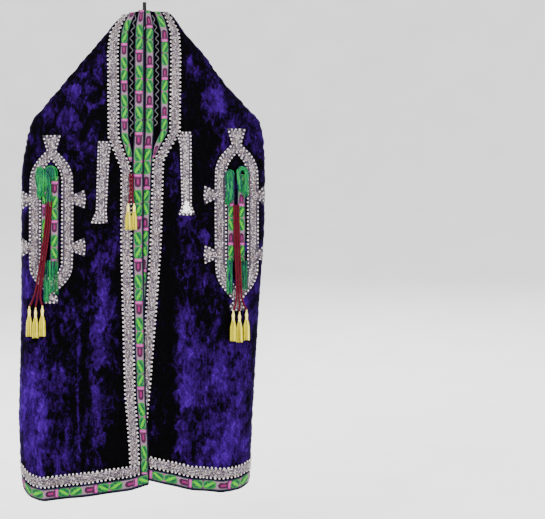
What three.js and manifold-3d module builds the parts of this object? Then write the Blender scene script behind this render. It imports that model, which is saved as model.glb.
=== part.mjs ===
// A paranja: a Central Asian head cloak of crushed velvet with ribbons, bead braid and tassels,
// hung by its neck from a plain steel hanger. Millimetres, +Z up, the front faces -Y, +X is to the
// right of someone who looks at the front, and the origin is the top of the hanger's stem.
import * as THREE from "three";
import Module from "manifold-3d";
import { mergeVertices } from "three/addons/utils/BufferGeometryUtils.js";

const { lerp, smoothstep, clamp } = THREE.MathUtils;

// ---------- driving dimensions ----------
const WALL = 2; // velvet with its backing
const TRIM = 1.2; // ribbons and bead braid
const SEAM = 0.3; // gap between pieces sewn side by side
const LIE = 0.6; // gap under what lies on a panel
const FRONT = -1;
const BACK = 1;
const HEM_LEVEL = -1500; // where places along the hem are read
const NECK_CORNER = -54; // where the neckline meets the shoulder ridges

// Level sections of the cloak. left and right are the half widths beside the stem, front and back
// the depths, and power makes the section an ellipse at 2 and squarer above it.
const SECTIONS = [
  { z: -30, left: 62, right: 84, front: 21, back: 19, power: 2.6 },
  { z: -58, left: 86, right: 98, front: 25, back: 24, power: 2.6 },
  { z: -90, left: 112, right: 119, front: 30, back: 28, power: 2.7 },
  { z: -157, left: 170, right: 181, front: 40, back: 38, power: 2.8 },
  { z: -250, left: 249, right: 246, front: 52, back: 52, power: 2.9 },
  { z: -325, left: 312, right: 315, front: 61, back: 62, power: 3.0 },
  { z: -371, left: 351, right: 360, front: 67, back: 68, power: 3.0 },
  { z: -440, left: 367, right: 370, front: 76, back: 78, power: 3.1 },
  { z: -520, left: 380, right: 373, front: 84, back: 88, power: 3.2 },
  { z: -700, left: 381, right: 371, front: 97, back: 104, power: 3.2 },
  { z: -950, left: 381, right: 353, front: 107, back: 118, power: 3.2 },
  { z: -1140, left: 385, right: 342, front: 114, back: 126, power: 3.1 },
  { z: -1280, left: 389, right: 334, front: 118, back: 131, power: 3.0 },
  { z: -1400, left: 384, right: 329, front: 120, back: 133, power: 2.9 },
  { z: -1540, left: 371, right: 316, front: 119, back: 133, power: 2.8 },
];

// Hanging folds. Each runs from x top to x bottom, stands out by `out` (in where negative), grows
// from nothing at `from` to its full depth at `full`, and has gone again at `gone`.
const FOLDS = [
  { side: FRONT, top: -260, bottom: -322, width: 56, out: 7, from: -980, full: -1300, gone: -3000 },
  { side: FRONT, top: -215, bottom: -240, width: 50, out: -7, from: -980, full: -1300, gone: -3000 },
  { side: FRONT, top: -140, bottom: -158, width: 55, out: 7, from: -500, full: -1100, gone: -3000 },
  { side: FRONT, top: 100, bottom: 84, width: 46, out: -6, from: -700, full: -1200, gone: -3000 },
  { side: FRONT, top: 150, bottom: 138, width: 50, out: 7, from: -500, full: -1100, gone: -3000 },
  { side: FRONT, top: 210, bottom: 196, width: 46, out: -6, from: -1000, full: -1300, gone: -3000 },
  { side: FRONT, top: 262, bottom: 256, width: 50, out: 7, from: -1000, full: -1300, gone: -3000 },
  { side: BACK, top: 52, bottom: 46, width: 32, out: 8, from: -180, full: -460, gone: -900 },
  { side: BACK, top: 18, bottom: 22, width: 30, out: -8, from: -160, full: -460, gone: -1100 },
  { side: BACK, top: -18, bottom: 0, width: 30, out: 8, from: -160, full: -460, gone: -1000 },
  { side: BACK, top: -54, bottom: -40, width: 28, out: -8, from: -160, full: -460, gone: -900 },
  { side: BACK, top: -40, bottom: -38, width: 40, out: -34, from: -1240, full: -1470, gone: -3000 },
  { side: BACK, top: -110, bottom: -122, width: 58, out: 12, from: -1330, full: -1490, gone: -3000 },
  { side: BACK, top: 100, bottom: 124, width: 52, out: -13, from: -1200, full: -1500, gone: -3000 },
  { side: BACK, top: 214, bottom: 228, width: 60, out: 15, from: -1240, full: -1490, gone: -3000 },
  { side: BACK, top: 325, bottom: 298, width: 40, out: -7, from: -900, full: -1300, gone: -3000 },
  { side: BACK, top: -330, bottom: -298, width: 50, out: -8, from: -900, full: -1300, gone: -3000 },
];

// Height of the neckline, by its share of the half width.
const NECKLINE = [
  { side: FRONT, share: -1.0, z: -54 },
  { side: FRONT, share: -0.86, z: -47 },
  { side: FRONT, share: -0.6, z: -36 },
  { side: FRONT, share: -0.3, z: -32 },
  { side: FRONT, share: -0.16, z: -27 },
  { side: FRONT, share: 0.1, z: -27 },
  { side: FRONT, share: 0.3, z: -32 },
  { side: FRONT, share: 0.8, z: -33 },
  { side: FRONT, share: 0.92, z: -40 },
  { side: FRONT, share: 1.0, z: -54 },
  { side: BACK, share: -1.0, z: -54 },
  { side: BACK, share: -0.55, z: -60 },
  { side: BACK, share: 0.0, z: -80 },
  { side: BACK, share: 0.55, z: -60 },
  { side: BACK, share: 1.0, z: -54 },
];

// Height of the hem, by its place.
const HEM = [
  { side: FRONT, x: -378, z: -1490 },
  { side: FRONT, x: -352, z: -1518 },
  { side: FRONT, x: -310, z: -1528 },
  { side: FRONT, x: -234, z: -1518 },
  { side: FRONT, x: -129, z: -1502 },
  { side: FRONT, x: -40, z: -1490 },
  { side: FRONT, x: 11, z: -1473 },
  { side: BACK, x: -378, z: -1490 },
  { side: BACK, x: -320, z: -1484 },
  { side: BACK, x: -190, z: -1494 },
  { side: BACK, x: -100, z: -1482 },
  { side: BACK, x: -60, z: -1468 },
  { side: BACK, x: -36, z: -1466 },
  { side: BACK, x: -8, z: -1486 },
  { side: BACK, x: 25, z: -1492 },
  { side: BACK, x: 110, z: -1490 },
  { side: BACK, x: 180, z: -1502 },
  { side: BACK, x: 235, z: -1516 },
  { side: BACK, x: 290, z: -1504 },
  { side: BACK, x: 318, z: -1482 },
];
const HEM_RIGHT_FRONT = [
  { x: -70, z: -1462 },
  { x: 11, z: -1461 },
  { x: 76, z: -1476 },
  { x: 140, z: -1489 },
  { x: 225, z: -1500 },
  { x: 290, z: -1494 },
  { x: 318, z: -1482 },
];

// The front edges with what lies beside them, each a place across at its height: the front edge,
// the far side of its ribbon, the near side of the hood's second ribbon, and both sides of the
// bead braid.
const LEFT_EDGE = [
  { z: -27, edge: 0, ribbon: -17, hood: -26, near: -46, far: -64 },
  { z: -50, edge: -1, ribbon: -21, hood: -33, near: -55, far: -75 },
  { z: -70, edge: -2, ribbon: -26, hood: -41, near: -66, far: -89 },
  { z: -98, edge: -2, ribbon: -29, hood: -49, near: -76, far: -107 },
  { z: -159, edge: -2, ribbon: -30, hood: -51, near: -79, far: -115 },
  { z: -425, edge: -2, ribbon: -32, hood: -48, near: -76, far: -112 },
  { z: -470, edge: -3, ribbon: -34, hood: -44, near: -60, far: -95 },
  { z: -525, edge: -4, ribbon: -36, hood: -37, near: -38, far: -73 },
  { z: -768, edge: -5, ribbon: -35, hood: -36, near: -37, far: -73 },
  { z: -1205, edge: 2, ribbon: -24, hood: -25, near: -26, far: -61 },
  { z: -1358, edge: 10, ribbon: -13, hood: -14, near: -15, far: -48 },
  { z: -1540, edge: 12, ribbon: -8, hood: -9, near: -10, far: -42 },
];
const RIGHT_EDGE = [
  { z: -27, edge: 2, ribbon: 17, hood: 27, near: 50, far: 70 },
  { z: -50, edge: 2, ribbon: 22, hood: 36, near: 62, far: 83 },
  { z: -70, edge: 3, ribbon: 27, hood: 42, near: 70, far: 95 },
  { z: -98, edge: 3, ribbon: 29, hood: 49, near: 77, far: 108 },
  { z: -159, edge: 4, ribbon: 29, hood: 51, near: 79, far: 113 },
  { z: -410, edge: 1, ribbon: 28, hood: 49, near: 75, far: 110 },
  { z: -450, edge: -3, ribbon: 25, hood: 38, near: 52, far: 87 },
  { z: -500, edge: -6, ribbon: 22, hood: 23, near: 24, far: 60 },
  { z: -768, edge: -16, ribbon: 13, hood: 14, near: 15, far: 51 },
  { z: -925, edge: -27, ribbon: 2, hood: 3, near: 4, far: 40 },
  { z: -1140, edge: -43, ribbon: -15, hood: -14, near: -13, far: 23 },
  { z: -1344, edge: -62, ribbon: -34, hood: -33, near: -32, far: 4 },
  { z: -1540, edge: -70, ribbon: -42, hood: -41, near: -40, far: -4 },
];
const UNDERLAP = 6.5; // how far the right front lies behind the left one
const UNDERLAP_FADE = 60; // the width over which it comes forward again
// A front panel's columns counted from its edge, each at the mean of the named places.
const EDGE_STOPS = [["edge"], ["ribbon"], ["hood"], ["near"], ["near", "far"], ["far"]];
const STEP = { ribbon: 1, hood: 2, near: 3, far: 5 };
const FRONT_COLUMNS = 15;
const BACK_COLUMNS = 33;
const ROWS_ABOVE_HEM = 22;
const HEM_ROWS = [75, 37.5, 0]; // heights above the hem of the last rows
const PANEL_ROWS = ROWS_ABOVE_HEM + HEM_ROWS.length;
const HOOD_RIBBON_END = -500;
const HOOD_RIBBON_SHARE = 0.88; // of the way from its near side to the bead braid

// Trim along the hem, as heights above the hem's own line.
const HEM_BINDING = 5;
const HEM_RIBBON_TOP = 36;
const HEM_BRAID_FOOT = 39;
const HEM_BRAID_TOP = 75;
const NECK_BRAID_WIDTH = 38;
const NECK_INSET = 1.5;

// False sleeves as they lie on the back: the side nearer the middle, and the outer side.
const SLEEVE_LEFT = [
  { inX: -128, inZ: -205, outX: -298, outZ: -382, thick: 7 },
  { inX: -124, inZ: -300, outX: -294, outZ: -440, thick: 13 },
  { inX: -118, inZ: -420, outX: -284, outZ: -530, thick: 16 },
  { inX: -104, inZ: -560, outX: -268, outZ: -640, thick: 16 },
  { inX: -85, inZ: -680, outX: -246, outZ: -768, thick: 15 },
  { inX: -60, inZ: -800, outX: -209, outZ: -917, thick: 14 },
  { inX: -33, inZ: -926, outX: -160, outZ: -1060, thick: 13 },
  { inX: -12, inZ: -1034, outX: -124, outZ: -1170, thick: 12 },
  { inX: 2, inZ: -1130, outX: -96, outZ: -1255, thick: 11 },
  { inX: 6, inZ: -1200, outX: -78, outZ: -1305, thick: 10 },
  { inX: -10, inZ: -1300, outX: -55, outZ: -1352, thick: 9 },
  { inX: -25, inZ: -1376, outX: -42, outZ: -1384, thick: 8 },
];
const SLEEVE_RIGHT = [
  { inX: 126, inZ: -195, outX: 300, outZ: -375, thick: 7 },
  { inX: 122, inZ: -300, outX: 292, outZ: -450, thick: 13 },
  { inX: 118, inZ: -430, outX: 282, outZ: -545, thick: 16 },
  { inX: 112, inZ: -560, outX: 270, outZ: -650, thick: 16 },
  { inX: 99, inZ: -670, outX: 258, outZ: -760, thick: 15 },
  { inX: 84, inZ: -780, outX: 243, outZ: -880, thick: 14 },
  { inX: 68, inZ: -880, outX: 222, outZ: -990, thick: 13 },
  { inX: 52, inZ: -1000, outX: 198, outZ: -1095, thick: 12 },
  { inX: 46, inZ: -1100, outX: 168, outZ: -1185, thick: 11 },
  { inX: 50, inZ: -1190, outX: 143, outZ: -1260, thick: 10 },
  { inX: 68, inZ: -1290, outX: 117, outZ: -1325, thick: 9 },
  { inX: 84, inZ: -1356, outX: 101, outZ: -1362, thick: 8 },
];
const SLEEVE_LIE = 1.6;
const SLEEVE_TOP_LIE = 0.6;
const SLEEVE_CLEAR = 0.3;

// The bead braid's frame about a pocket, as half widths and heights from the arch's springing.
const FRAME = {
  half: 67, bow: 1.5, band: 34, crown: 96, neckHalf: 11, baseHalf: 22, baseTop: 8, baseHeight: 20,
  finialNeck: 15, finialHalf: 29, finialHeight: 46,
};
const FAN = { nearHalf: 14, farHalf: 29 };
// Pockets: the frame's middle and springing, its straight stretch and foot, its fans, and what
// lies in it, measured from the springing.
const POCKETS = [
  {
    name: "pocket_left", panel: "left", x: -283, z: -560, straight: 250, foot: 92,
    upperFans: -55, lowerFans: -200, reachLeft: 26, reachRight: 38,
    ribbons: [
      { name: "inner", x: 11, half: 13, top: 16, foot: -254 },
      { name: "outer", x: -22, half: 7, top: 4, foot: -240 },
    ],
    threads: [
      { name: "upper", x: -20, half: 12, top: 46, foot: -12 },
      { name: "lower", x: 2, half: 22, top: -270, foot: -338 },
    ],
    cordTop: { x: -5, z: -62 },
    cords: [{ x: -62, z: -378 }, { x: -42, z: -382 }, { x: -22, z: -376 }],
  },
  {
    name: "pocket_right", panel: "right", x: 280, z: -540, straight: 274, foot: 110,
    upperFans: -62, lowerFans: -242, reachLeft: 34, reachRight: 20,
    ribbons: [
      { name: "inner", x: -18, half: 11, top: 2, foot: -262 },
      { name: "outer", x: 14, half: 12, top: 2, foot: -262 },
    ],
    threads: [
      { name: "upper", x: 14, half: 16, top: 46, foot: -16 },
      { name: "lower", x: 14, half: 22, top: -274, foot: -346 },
    ],
    cordTop: { x: -3, z: -92 },
    cords: [{ x: -15, z: -410 }, { x: 4, z: -414 }, { x: 23, z: -408 }],
  },
];
const THREAD_THICK = 2.2;

// Drops beside the neck: corners from the outer top one, past the join with the braid, to the foot.
const DROPS = [
  {
    name: "drop_left", panel: "left", top: -438, far: -142, joinX: -109, hipX: -102, hipZ: -458,
    nearX: -106, nearZ: -482, footNear: -114, footFar: -147, footZ: -652, fanMiddle: -137, fanZ: -687,
  },
  {
    name: "drop_right", panel: "right", top: -409, far: 143, joinX: 113, hipX: 101, hipZ: -430,
    nearX: 107, nearZ: -452, footNear: 112, footFar: 143, footZ: -634, fanMiddle: 128, fanZ: -662,
  },
];
const DROP_FAN_HALF = 26;

// Tassels, as radii and heights down a turned shape.
const TASSELS = {
  pocket: { neck: 2.2, head: 4.6, waist: 3.4, skirt: 8.6, headAt: 14, waistAt: 24, length: 97 },
  neck: { neck: 2.2, head: 4.6, waist: 3.4, skirt: 8.0, headAt: 12, waistAt: 20, length: 80 },
  large: { neck: 2.4, head: 4.8, waist: 3.6, skirt: 9.4, headAt: 14, waistAt: 26, length: 104 },
  small: { neck: 1.6, head: 3.6, waist: 2.6, skirt: 5.2, headAt: 8, waistAt: 14, length: 50 },
};
const TASSEL_GAP = 0.6; // from the cord's end

const CORD_RADIUS = 3.1;
const NECK_CORDS = [
  { topX: -44, topZ: -538, footX: -49, footZ: -628 },
  { topX: -37, topZ: -538, footX: -31, footZ: -628 },
];

const BRAID = { width: 28, topWidth: 20, thick: 3, lift: 15 }; // lift over the back, clear of the sleeves
// The back braids' middle lines, from the knot down.
const BACK_BRAIDS = [
  { name: "back_braid_left", topX: 14, topZ: -1192, footX: -23, footZ: -1386 },
  { name: "back_braid_right", topX: 47, topZ: -1196, footX: 91, footZ: -1366 },
];
const KNOT = { x: 30.6, z: -1198, radius: 7.2 };
const PENDANT_RADIUS = 1.6;
const CORAL_RADIUS = 3.2;
const PENDANT_CORD = [
  { x: 31, z: -1207.8 }, { x: 28, z: -1245 }, { x: 24, z: -1285 }, { x: 22, z: -1325 },
  { x: 22, z: -1357 }, { x: 24, z: -1384 },
];
const CORAL_CORD = [
  { x: 24, z: -1385 }, { x: 20, z: -1412 }, { x: 14, z: -1438 }, { x: 17, z: -1457 },
  { x: 32, z: -1466 }, { x: 52, z: -1463 },
];
// Small tassels: on the two braids, and leaning off the pendant cord.
const SMALL_TASSELS = [
  { x: 9, z: -1232, onBraid: true, lean: 0 },
  { x: 53, z: -1234, onBraid: true, lean: 0 },
  { x: 20, z: -1278, onBraid: false, lean: -9 },
  { x: 18.4, z: -1334, onBraid: false, lean: -9 },
];

const STEM = { radius: 6, length: 74 };
const ARM = { radius: 5, heights: [-168, -140, -112, -88], root: -66, clearance: 2.1 };

const COLOURS = {
  velvet: 0x1c0c4e, ribbon: 0x3fa04c, beads: 0xc4bcb8, red: 0x84101a, yellow: 0xe4d664,
  green: 0x2a9a4c, steel: 0x14141a, silver: 0x9aa09a, coral: 0xb4442c,
};
const BEAD_LOOK = { metalness: 0.5, roughness: 0.45 };

// ---------- tables ----------

/** Value of a named column where the rows' `by` column is at a place, straight between two rows. */
function read(rows, by, name, at) {
  const rising = rows.at(-1)[by] > rows[0][by];
  const ordered = rising ? rows : rows.toReversed();
  if (at <= ordered[0][by]) return ordered[0][name];
  const next = ordered.findIndex((row) => row[by] >= at);
  if (next < 0) return ordered.at(-1)[name];
  const [a, b] = [ordered[next - 1], ordered[next]];
  return lerp(a[name], b[name], (at - a[by]) / (b[by] - a[by]));
}

/** The same, with the corners at the rows rounded off over `reach`. */
function readSoft(rows, by, name, at, reach) {
  const places = [at - reach, at, at + reach];
  return places.reduce((sum, place) => sum + read(rows, by, name, place), 0) / places.length;
}

const signedPower = (value, power) => Math.sign(value) * Math.abs(value) ** power;
const range = (count) => Array.from({ length: count }, (_, index) => index);

// ---------- the cloak's surface ----------

/** The level section at height z: its middle, half width, depth on one side, and squareness. */
function sectionAt(side, z) {
  const left = readSoft(SECTIONS, "z", "left", z, 12);
  const right = readSoft(SECTIONS, "z", "right", z, 12);
  return {
    middle: (right - left) / 2,
    half: (right + left) / 2,
    depth: readSoft(SECTIONS, "z", side === FRONT ? "front" : "back", z, 30),
    power: read(SECTIONS, "z", "power", z),
  };
}

const leftSide = (z) => sectionAt(FRONT, z).middle - sectionAt(FRONT, z).half;
const rightSide = (z) => sectionAt(FRONT, z).middle + sectionAt(FRONT, z).half;

/** How far the folds push the cloth out at a place. */
function foldsAt(side, x, z) {
  return FOLDS.filter((fold) => fold.side === side).reduce((sum, fold) => {
    const run = clamp((z - fold.from) / (HEM_LEVEL - fold.from), 0, 1);
    const off = Math.abs(x - lerp(fold.top, fold.bottom, run)) / fold.width;
    const grown = smoothstep(-z, -fold.from, -fold.full) * (1 - smoothstep(-z, -fold.full, -fold.gone));
    return off < 1 ? sum + (fold.out * grown * (1 + Math.cos(Math.PI * off))) / 2 : sum;
  }, 0);
}

/** How far the right front lies behind the left one. */
function underlapAt(x, z) {
  const edge = read(LEFT_EDGE, "z", "edge", z) + 4;
  return UNDERLAP * (1 - smoothstep(x, edge, edge + UNDERLAP_FADE));
}

/** Point of the cloak's outside. */
function surface(side, x, z) {
  const { middle, half, depth, power } = sectionAt(side, z);
  const share = Math.min(1, Math.abs(x - middle) / half);
  const bulge = (1 - share ** power) ** (1 / power);
  const out = depth * bulge + foldsAt(side, x, z) * smoothstep(bulge, 0, 0.6);
  return new THREE.Vector3(x, side * out, z);
}

/** Place across at which a share of the cloth's length from `start` to `end` has gone by. */
function acrossAt(side, z, start, end, share) {
  const steps = 60;
  const { middle, half, depth, power } = sectionAt(side, z);
  const places = [];
  let length = 0;
  for (const step of range(steps + 1)) {
    const angle = (step / steps - 0.5) * Math.PI;
    const x = middle + half * signedPower(Math.sin(angle), 2 / power);
    const y = depth * Math.max(0, Math.cos(angle)) ** (2 / power);
    const last = places.at(-1);
    if (last) length += Math.hypot(x - last.x, y - last.y);
    places.push({ x, y, length });
  }
  const from = read(places, "x", "length", start);
  const to = read(places, "x", "length", end);
  return read(places, "length", "x", lerp(from, to, share));
}

// ---------- solids ----------

/** Mesh of a closed solid, turned so that its faces point out. */
function solid(name, positions, faces, colour, look = {}) {
  const corner = (index) => new THREE.Vector3().fromArray(positions, index * 3);
  const volume = faces.reduce((sum, [a, b, c]) => sum + corner(a).dot(corner(b).cross(corner(c))), 0);
  const turned = volume < 0 ? faces.map(([a, b, c]) => [a, c, b]) : faces;
  const geometry = new THREE.BufferGeometry();
  geometry.setAttribute("position", new THREE.Float32BufferAttribute(positions, 3));
  geometry.setIndex(turned.flat());
  return named(name, geometry, colour, look);
}

function named(name, geometry, colour, look = {}) {
  const material = new THREE.MeshStandardMaterial({ color: colour, roughness: 0.8, metalness: 0, ...look });
  const mesh = new THREE.Mesh(geometry, material);
  mesh.name = name;
  return mesh;
}

/** A geometry's positions alone, with its doubled corners made one. */
function welded(geometry) {
  geometry.deleteAttribute("normal");
  geometry.deleteAttribute("uv");
  return mergeVertices(geometry, 1e-3);
}

const wasm = await Module();
wasm.setup();

function toManifold(geometry) {
  const { attributes, index } = welded(geometry);
  return new wasm.Manifold(new wasm.Mesh({
    numProp: 3, vertProperties: attributes.position.array, triVerts: Uint32Array.from(index.array),
  }));
}

function fromManifold(name, manifold, colour, look) {
  const { vertProperties, triVerts } = manifold.getMesh();
  const faces = range(triVerts.length / 3).map((face) => [...triVerts.slice(face * 3, face * 3 + 3)]);
  return solid(name, [...vertProperties], faces, colour, look);
}

/** Solid between two offsets of a surface, given as samples with a point and a normal. */
function slab(name, samples, faces, from, to, colour, look) {
  const layer = (lift) => samples.flatMap(({ point, normal }) =>
    point.clone().addScaledVector(normal, lift).toArray());
  const count = samples.length;
  const used = new Set(faces.flatMap(([a, b, c]) => [`${a},${b}`, `${b},${c}`, `${c},${a}`]));
  const rim = [...used].map((edge) => edge.split(",").map(Number)).filter(([a, b]) => !used.has(`${b},${a}`));
  const all = [
    ...faces,
    ...faces.map(([a, b, c]) => [c + count, b + count, a + count]),
    ...rim.flatMap(([a, b]) => [[b, a, a + count], [b, a + count, b + count]]),
  ];
  return solid(name, [...layer(to), ...layer(from)], all, colour, look);
}

/** Faces of a grid of samples that is stored row by row. */
function gridFaces(columns, rows) {
  const faces = [];
  for (const j of range(rows - 1)) {
    for (const i of range(columns - 1)) {
      const a = j * columns + i;
      const b = a + columns;
      faces.push([a, b, a + 1], [a + 1, b, b + 1]);
    }
  }
  return faces;
}

/** A cloth panel: a faceted grid over the cloak's surface, which trims are laid on. */
class Panel {
  /** placeX(column, z) is a column's place across; seams are the columns sewn at the sides. */
  constructor({ side, columns, placeX, heightOf, push = () => 0, seams }) {
    this.side = side;
    this.columns = columns;
    this.rows = PANEL_ROWS;
    this.seams = seams;
    this.points = range(this.rows).flatMap((row) => range(columns).map((column) => {
      const z = heightOf(column, row);
      const x = placeX(column, z);
      const point = surface(side, x, z);
      point.y += push(x, z);
      if (seams.includes(column)) point.y = (side * SEAM) / 2;
      return point;
    }));
    this.normals = this.points.map((_, index) => this.normalAt(index));
    this.faces = gridFaces(columns, this.rows);
  }

  normalAt(index) {
    const i = index % this.columns;
    const j = Math.floor(index / this.columns);
    const at = (column, row) => this.points[row * this.columns + column];
    const across = at(Math.min(i + 1, this.columns - 1), j).clone().sub(at(Math.max(i - 1, 0), j));
    const down = at(i, Math.min(j + 1, this.rows - 1)).clone().sub(at(i, Math.max(j - 1, 0)));
    const normal = across.cross(down).multiplyScalar(this.side);
    if (this.seams.includes(i)) normal.y = 0;
    return normal.normalize();
  }

  /** Sample of the panel at a grid place, which may lie between columns and rows. */
  at(column, row) {
    const i = Math.min(Math.floor(column), this.columns - 2);
    const j = Math.min(Math.floor(row), this.rows - 2);
    const [u, v] = [column - i, row - j];
    const mix = (values) => {
      const get = (a, b) => values[(j + b) * this.columns + i + a];
      return get(0, 0).clone().lerp(get(1, 0), u).lerp(get(0, 1).clone().lerp(get(1, 1), u), v);
    };
    return { point: mix(this.points), normal: mix(this.normals).normalize() };
  }

  /** Sample of the panel where it is met from straight ahead at x and z. */
  over(x, z) {
    let best = { inside: -Infinity };
    for (const corners of this.faces) {
      const [p, q, r] = corners.map((corner) => this.points[corner]);
      const area = (q.x - p.x) * (r.z - p.z) - (r.x - p.x) * (q.z - p.z);
      if (Math.abs(area) < 1e-6) continue;
      const v = ((x - p.x) * (r.z - p.z) - (r.x - p.x) * (z - p.z)) / area;
      const w = ((q.x - p.x) * (z - p.z) - (x - p.x) * (q.z - p.z)) / area;
      const inside = Math.min(v, w, 1 - v - w);
      if (inside > best.inside) best = { inside, corners, weights: [1 - v - w, v, w] };
      if (inside >= 0) break;
    }
    const mix = (values) => best.corners.reduce((sum, corner, k) =>
      sum.addScaledVector(values[corner], best.weights[k]), new THREE.Vector3());
    return { point: mix(this.points), normal: mix(this.normals).normalize() };
  }

  /** Point lifted off the panel. */
  lifted(x, z, lift) {
    const { point, normal } = this.over(x, z);
    return point.addScaledVector(normal, lift);
  }

  /** The panel's row, in part, that lies a height above the hem. */
  rowAbove(height) {
    const next = Math.max(1, HEM_ROWS.findIndex((row) => row <= height));
    const [upper, lower] = [HEM_ROWS[next - 1], HEM_ROWS[next]];
    return ROWS_ABOVE_HEM + next - 1 + (upper - height) / (upper - lower);
  }

  /** The panel's row, in part, that lies a length below the neckline in one column. */
  rowBelowNeck(column, length) {
    return length / (this.at(column, 0).point.z - this.at(column, 1).point.z);
  }

  layer(name, from, to, colour, look) {
    const samples = this.points.map((point, index) => ({ point, normal: this.normals[index] }));
    return slab(name, samples, this.faces, from, to, colour, look);
  }
}

// ---------- the panels ----------

/** Height of the neckline over a column whose place across is known at each height. */
function neckHeight(side, placeX, column) {
  const rows = NECKLINE.filter((row) => row.side === side);
  let z = NECK_CORNER;
  for (const _ of range(4)) {
    const x = placeX(column, z);
    z = read(rows, "share", "z", x < 0 ? -x / leftSide(NECK_CORNER) : x / rightSide(NECK_CORNER));
  }
  return z;
}

/** Heights of a panel's grid: even rows from the neckline, then the rows that carry hem trim. */
function gridHeights(side, placeX, hem, columns) {
  const tops = range(columns).map((column) => neckHeight(side, placeX, column));
  const feet = range(columns).map((column) => readSoft(hem, "x", "z", placeX(column, HEM_LEVEL), 8));
  return (column, row) => (row <= ROWS_ABOVE_HEM
    ? lerp(tops[column], feet[column] + HEM_ROWS[0], row / ROWS_ABOVE_HEM)
    : feet[column] + HEM_ROWS[row - ROWS_ABOVE_HEM]);
}

/** Place across of a front panel's column, counted from the front edge. */
function frontPlace(table, sideX, step, z) {
  if (step < EDGE_STOPS.length) {
    const names = EDGE_STOPS[step];
    return names.reduce((sum, name) => sum + read(table, "z", name, z), 0) / names.length;
  }
  const [near, far] = [read(table, "z", "far", z), sideX(z)];
  const share = (step - EDGE_STOPS.length + 1) / (FRONT_COLUMNS - EDGE_STOPS.length);
  return near < far ? acrossAt(FRONT, z, near, far, share) : acrossAt(FRONT, z, far, near, 1 - share);
}

function makeFrontLeft() {
  const placeX = (column, z) => frontPlace(LEFT_EDGE, leftSide, FRONT_COLUMNS - 1 - column, z);
  const hem = HEM.filter((row) => row.side === FRONT);
  const heightOf = gridHeights(FRONT, placeX, hem, FRONT_COLUMNS);
  return new Panel({ side: FRONT, columns: FRONT_COLUMNS, placeX, heightOf, seams: [0] });
}

function makeFrontRight() {
  const placeX = (column, z) => frontPlace(RIGHT_EDGE, rightSide, column, z);
  const heightOf = gridHeights(FRONT, placeX, HEM_RIGHT_FRONT, FRONT_COLUMNS);
  return new Panel({
    side: FRONT, columns: FRONT_COLUMNS, placeX, heightOf, push: underlapAt, seams: [FRONT_COLUMNS - 1],
  });
}

function makeBack() {
  const placeX = (column, z) => acrossAt(BACK, z, leftSide(z), rightSide(z), column / (BACK_COLUMNS - 1));
  const heightOf = gridHeights(BACK, placeX, HEM.filter((row) => row.side === BACK), BACK_COLUMNS);
  return new Panel({ side: BACK, columns: BACK_COLUMNS, placeX, heightOf, seams: [0, BACK_COLUMNS - 1] });
}

const frontLeft = makeFrontLeft();
const frontRight = makeFrontRight();
const back = makeBack();
const PANELS = { left: frontLeft, right: frontRight };

// ---------- trims ----------

/** Trim made from a panel's grid, over lists of columns and rows that may lie between its own. */
function gridTrim(name, panel, columns, rowsOf, colour, look) {
  const rowLists = columns.map(rowsOf);
  const samples = range(rowLists[0].length).flatMap((row) =>
    columns.map((column, i) => panel.at(column, rowLists[i][row])));
  return slab(name, samples, gridFaces(columns.length, rowLists[0].length), LIE, LIE + TRIM, colour, look);
}

/** Rows from the neckline's trim inset down to a last row. */
const rowsDownTo = (panel, last) => (column) => [
  panel.rowBelowNeck(column, NECK_INSET), ...range(Math.ceil(last)).slice(1), last,
];

/** Columns between two, with every whole one on the way. */
const columnsBetween = (from, to) => [
  from, ...range(BACK_COLUMNS).filter((column) => column > from + 0.01 && column < to - 0.01), to,
];

/** Ribbons and bead braid down one front and along its hem. */
function frontTrims(label, panel) {
  const isLeft = panel === frontLeft;
  const fromEdge = (step) => (isLeft ? FRONT_COLUMNS - 1 - step : step);
  const between = (a, b) => columnsBetween(...[fromEdge(a), fromEdge(b)].sort((p, q) => p - q));
  const ribbonEnd = panel.rowAbove(HEM_RIBBON_TOP + SEAM);
  const braidEnd = panel.rowAbove(HEM_BRAID_TOP) - 0.01;
  const hoodHeight = (row) => panel.at(fromEdge(STEP.hood), row).point.z;
  const hoodEnd = range(panel.rows).findLast((row) => hoodHeight(row) >= HOOD_RIBBON_END);
  const hemRows = (high, low) => () => [panel.rowAbove(high), panel.rowAbove(low)];
  return [
    gridTrim(`ribbon_front_${label}`, panel, between(0, STEP.ribbon), rowsDownTo(panel, ribbonEnd),
      COLOURS.ribbon),
    gridTrim(`ribbon_hood_${label}`, panel, between(STEP.hood, STEP.hood + HOOD_RIBBON_SHARE),
      rowsDownTo(panel, hoodEnd), COLOURS.ribbon),
    gridTrim(`braid_front_${label}`, panel, between(STEP.near, STEP.far), rowsDownTo(panel, braidEnd),
      COLOURS.beads, BEAD_LOOK),
    gridTrim(`ribbon_hem_${label}`, panel, between(0, FRONT_COLUMNS - 1),
      hemRows(HEM_RIBBON_TOP, HEM_BINDING), COLOURS.ribbon),
    gridTrim(`braid_hem_${label}`, panel, between(STEP.near, FRONT_COLUMNS - 1),
      hemRows(HEM_BRAID_TOP, HEM_BRAID_FOOT), COLOURS.beads, BEAD_LOOK),
  ];
}

function backTrims() {
  const all = range(BACK_COLUMNS);
  const hemRows = (high, low) => () => [back.rowAbove(high), back.rowAbove(low)];
  const neckRows = (column) =>
    [NECK_INSET, NECK_INSET + NECK_BRAID_WIDTH].map((length) => back.rowBelowNeck(column, length));
  return [
    gridTrim("ribbon_hem_back", back, all, hemRows(HEM_RIBBON_TOP, HEM_BINDING), COLOURS.ribbon),
    gridTrim("braid_hem_back", back, all, hemRows(HEM_BRAID_TOP, HEM_BRAID_FOOT), COLOURS.beads, BEAD_LOOK),
    gridTrim("braid_neck_back", back, all, neckRows, COLOURS.beads, BEAD_LOOK),
  ];
}

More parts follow.
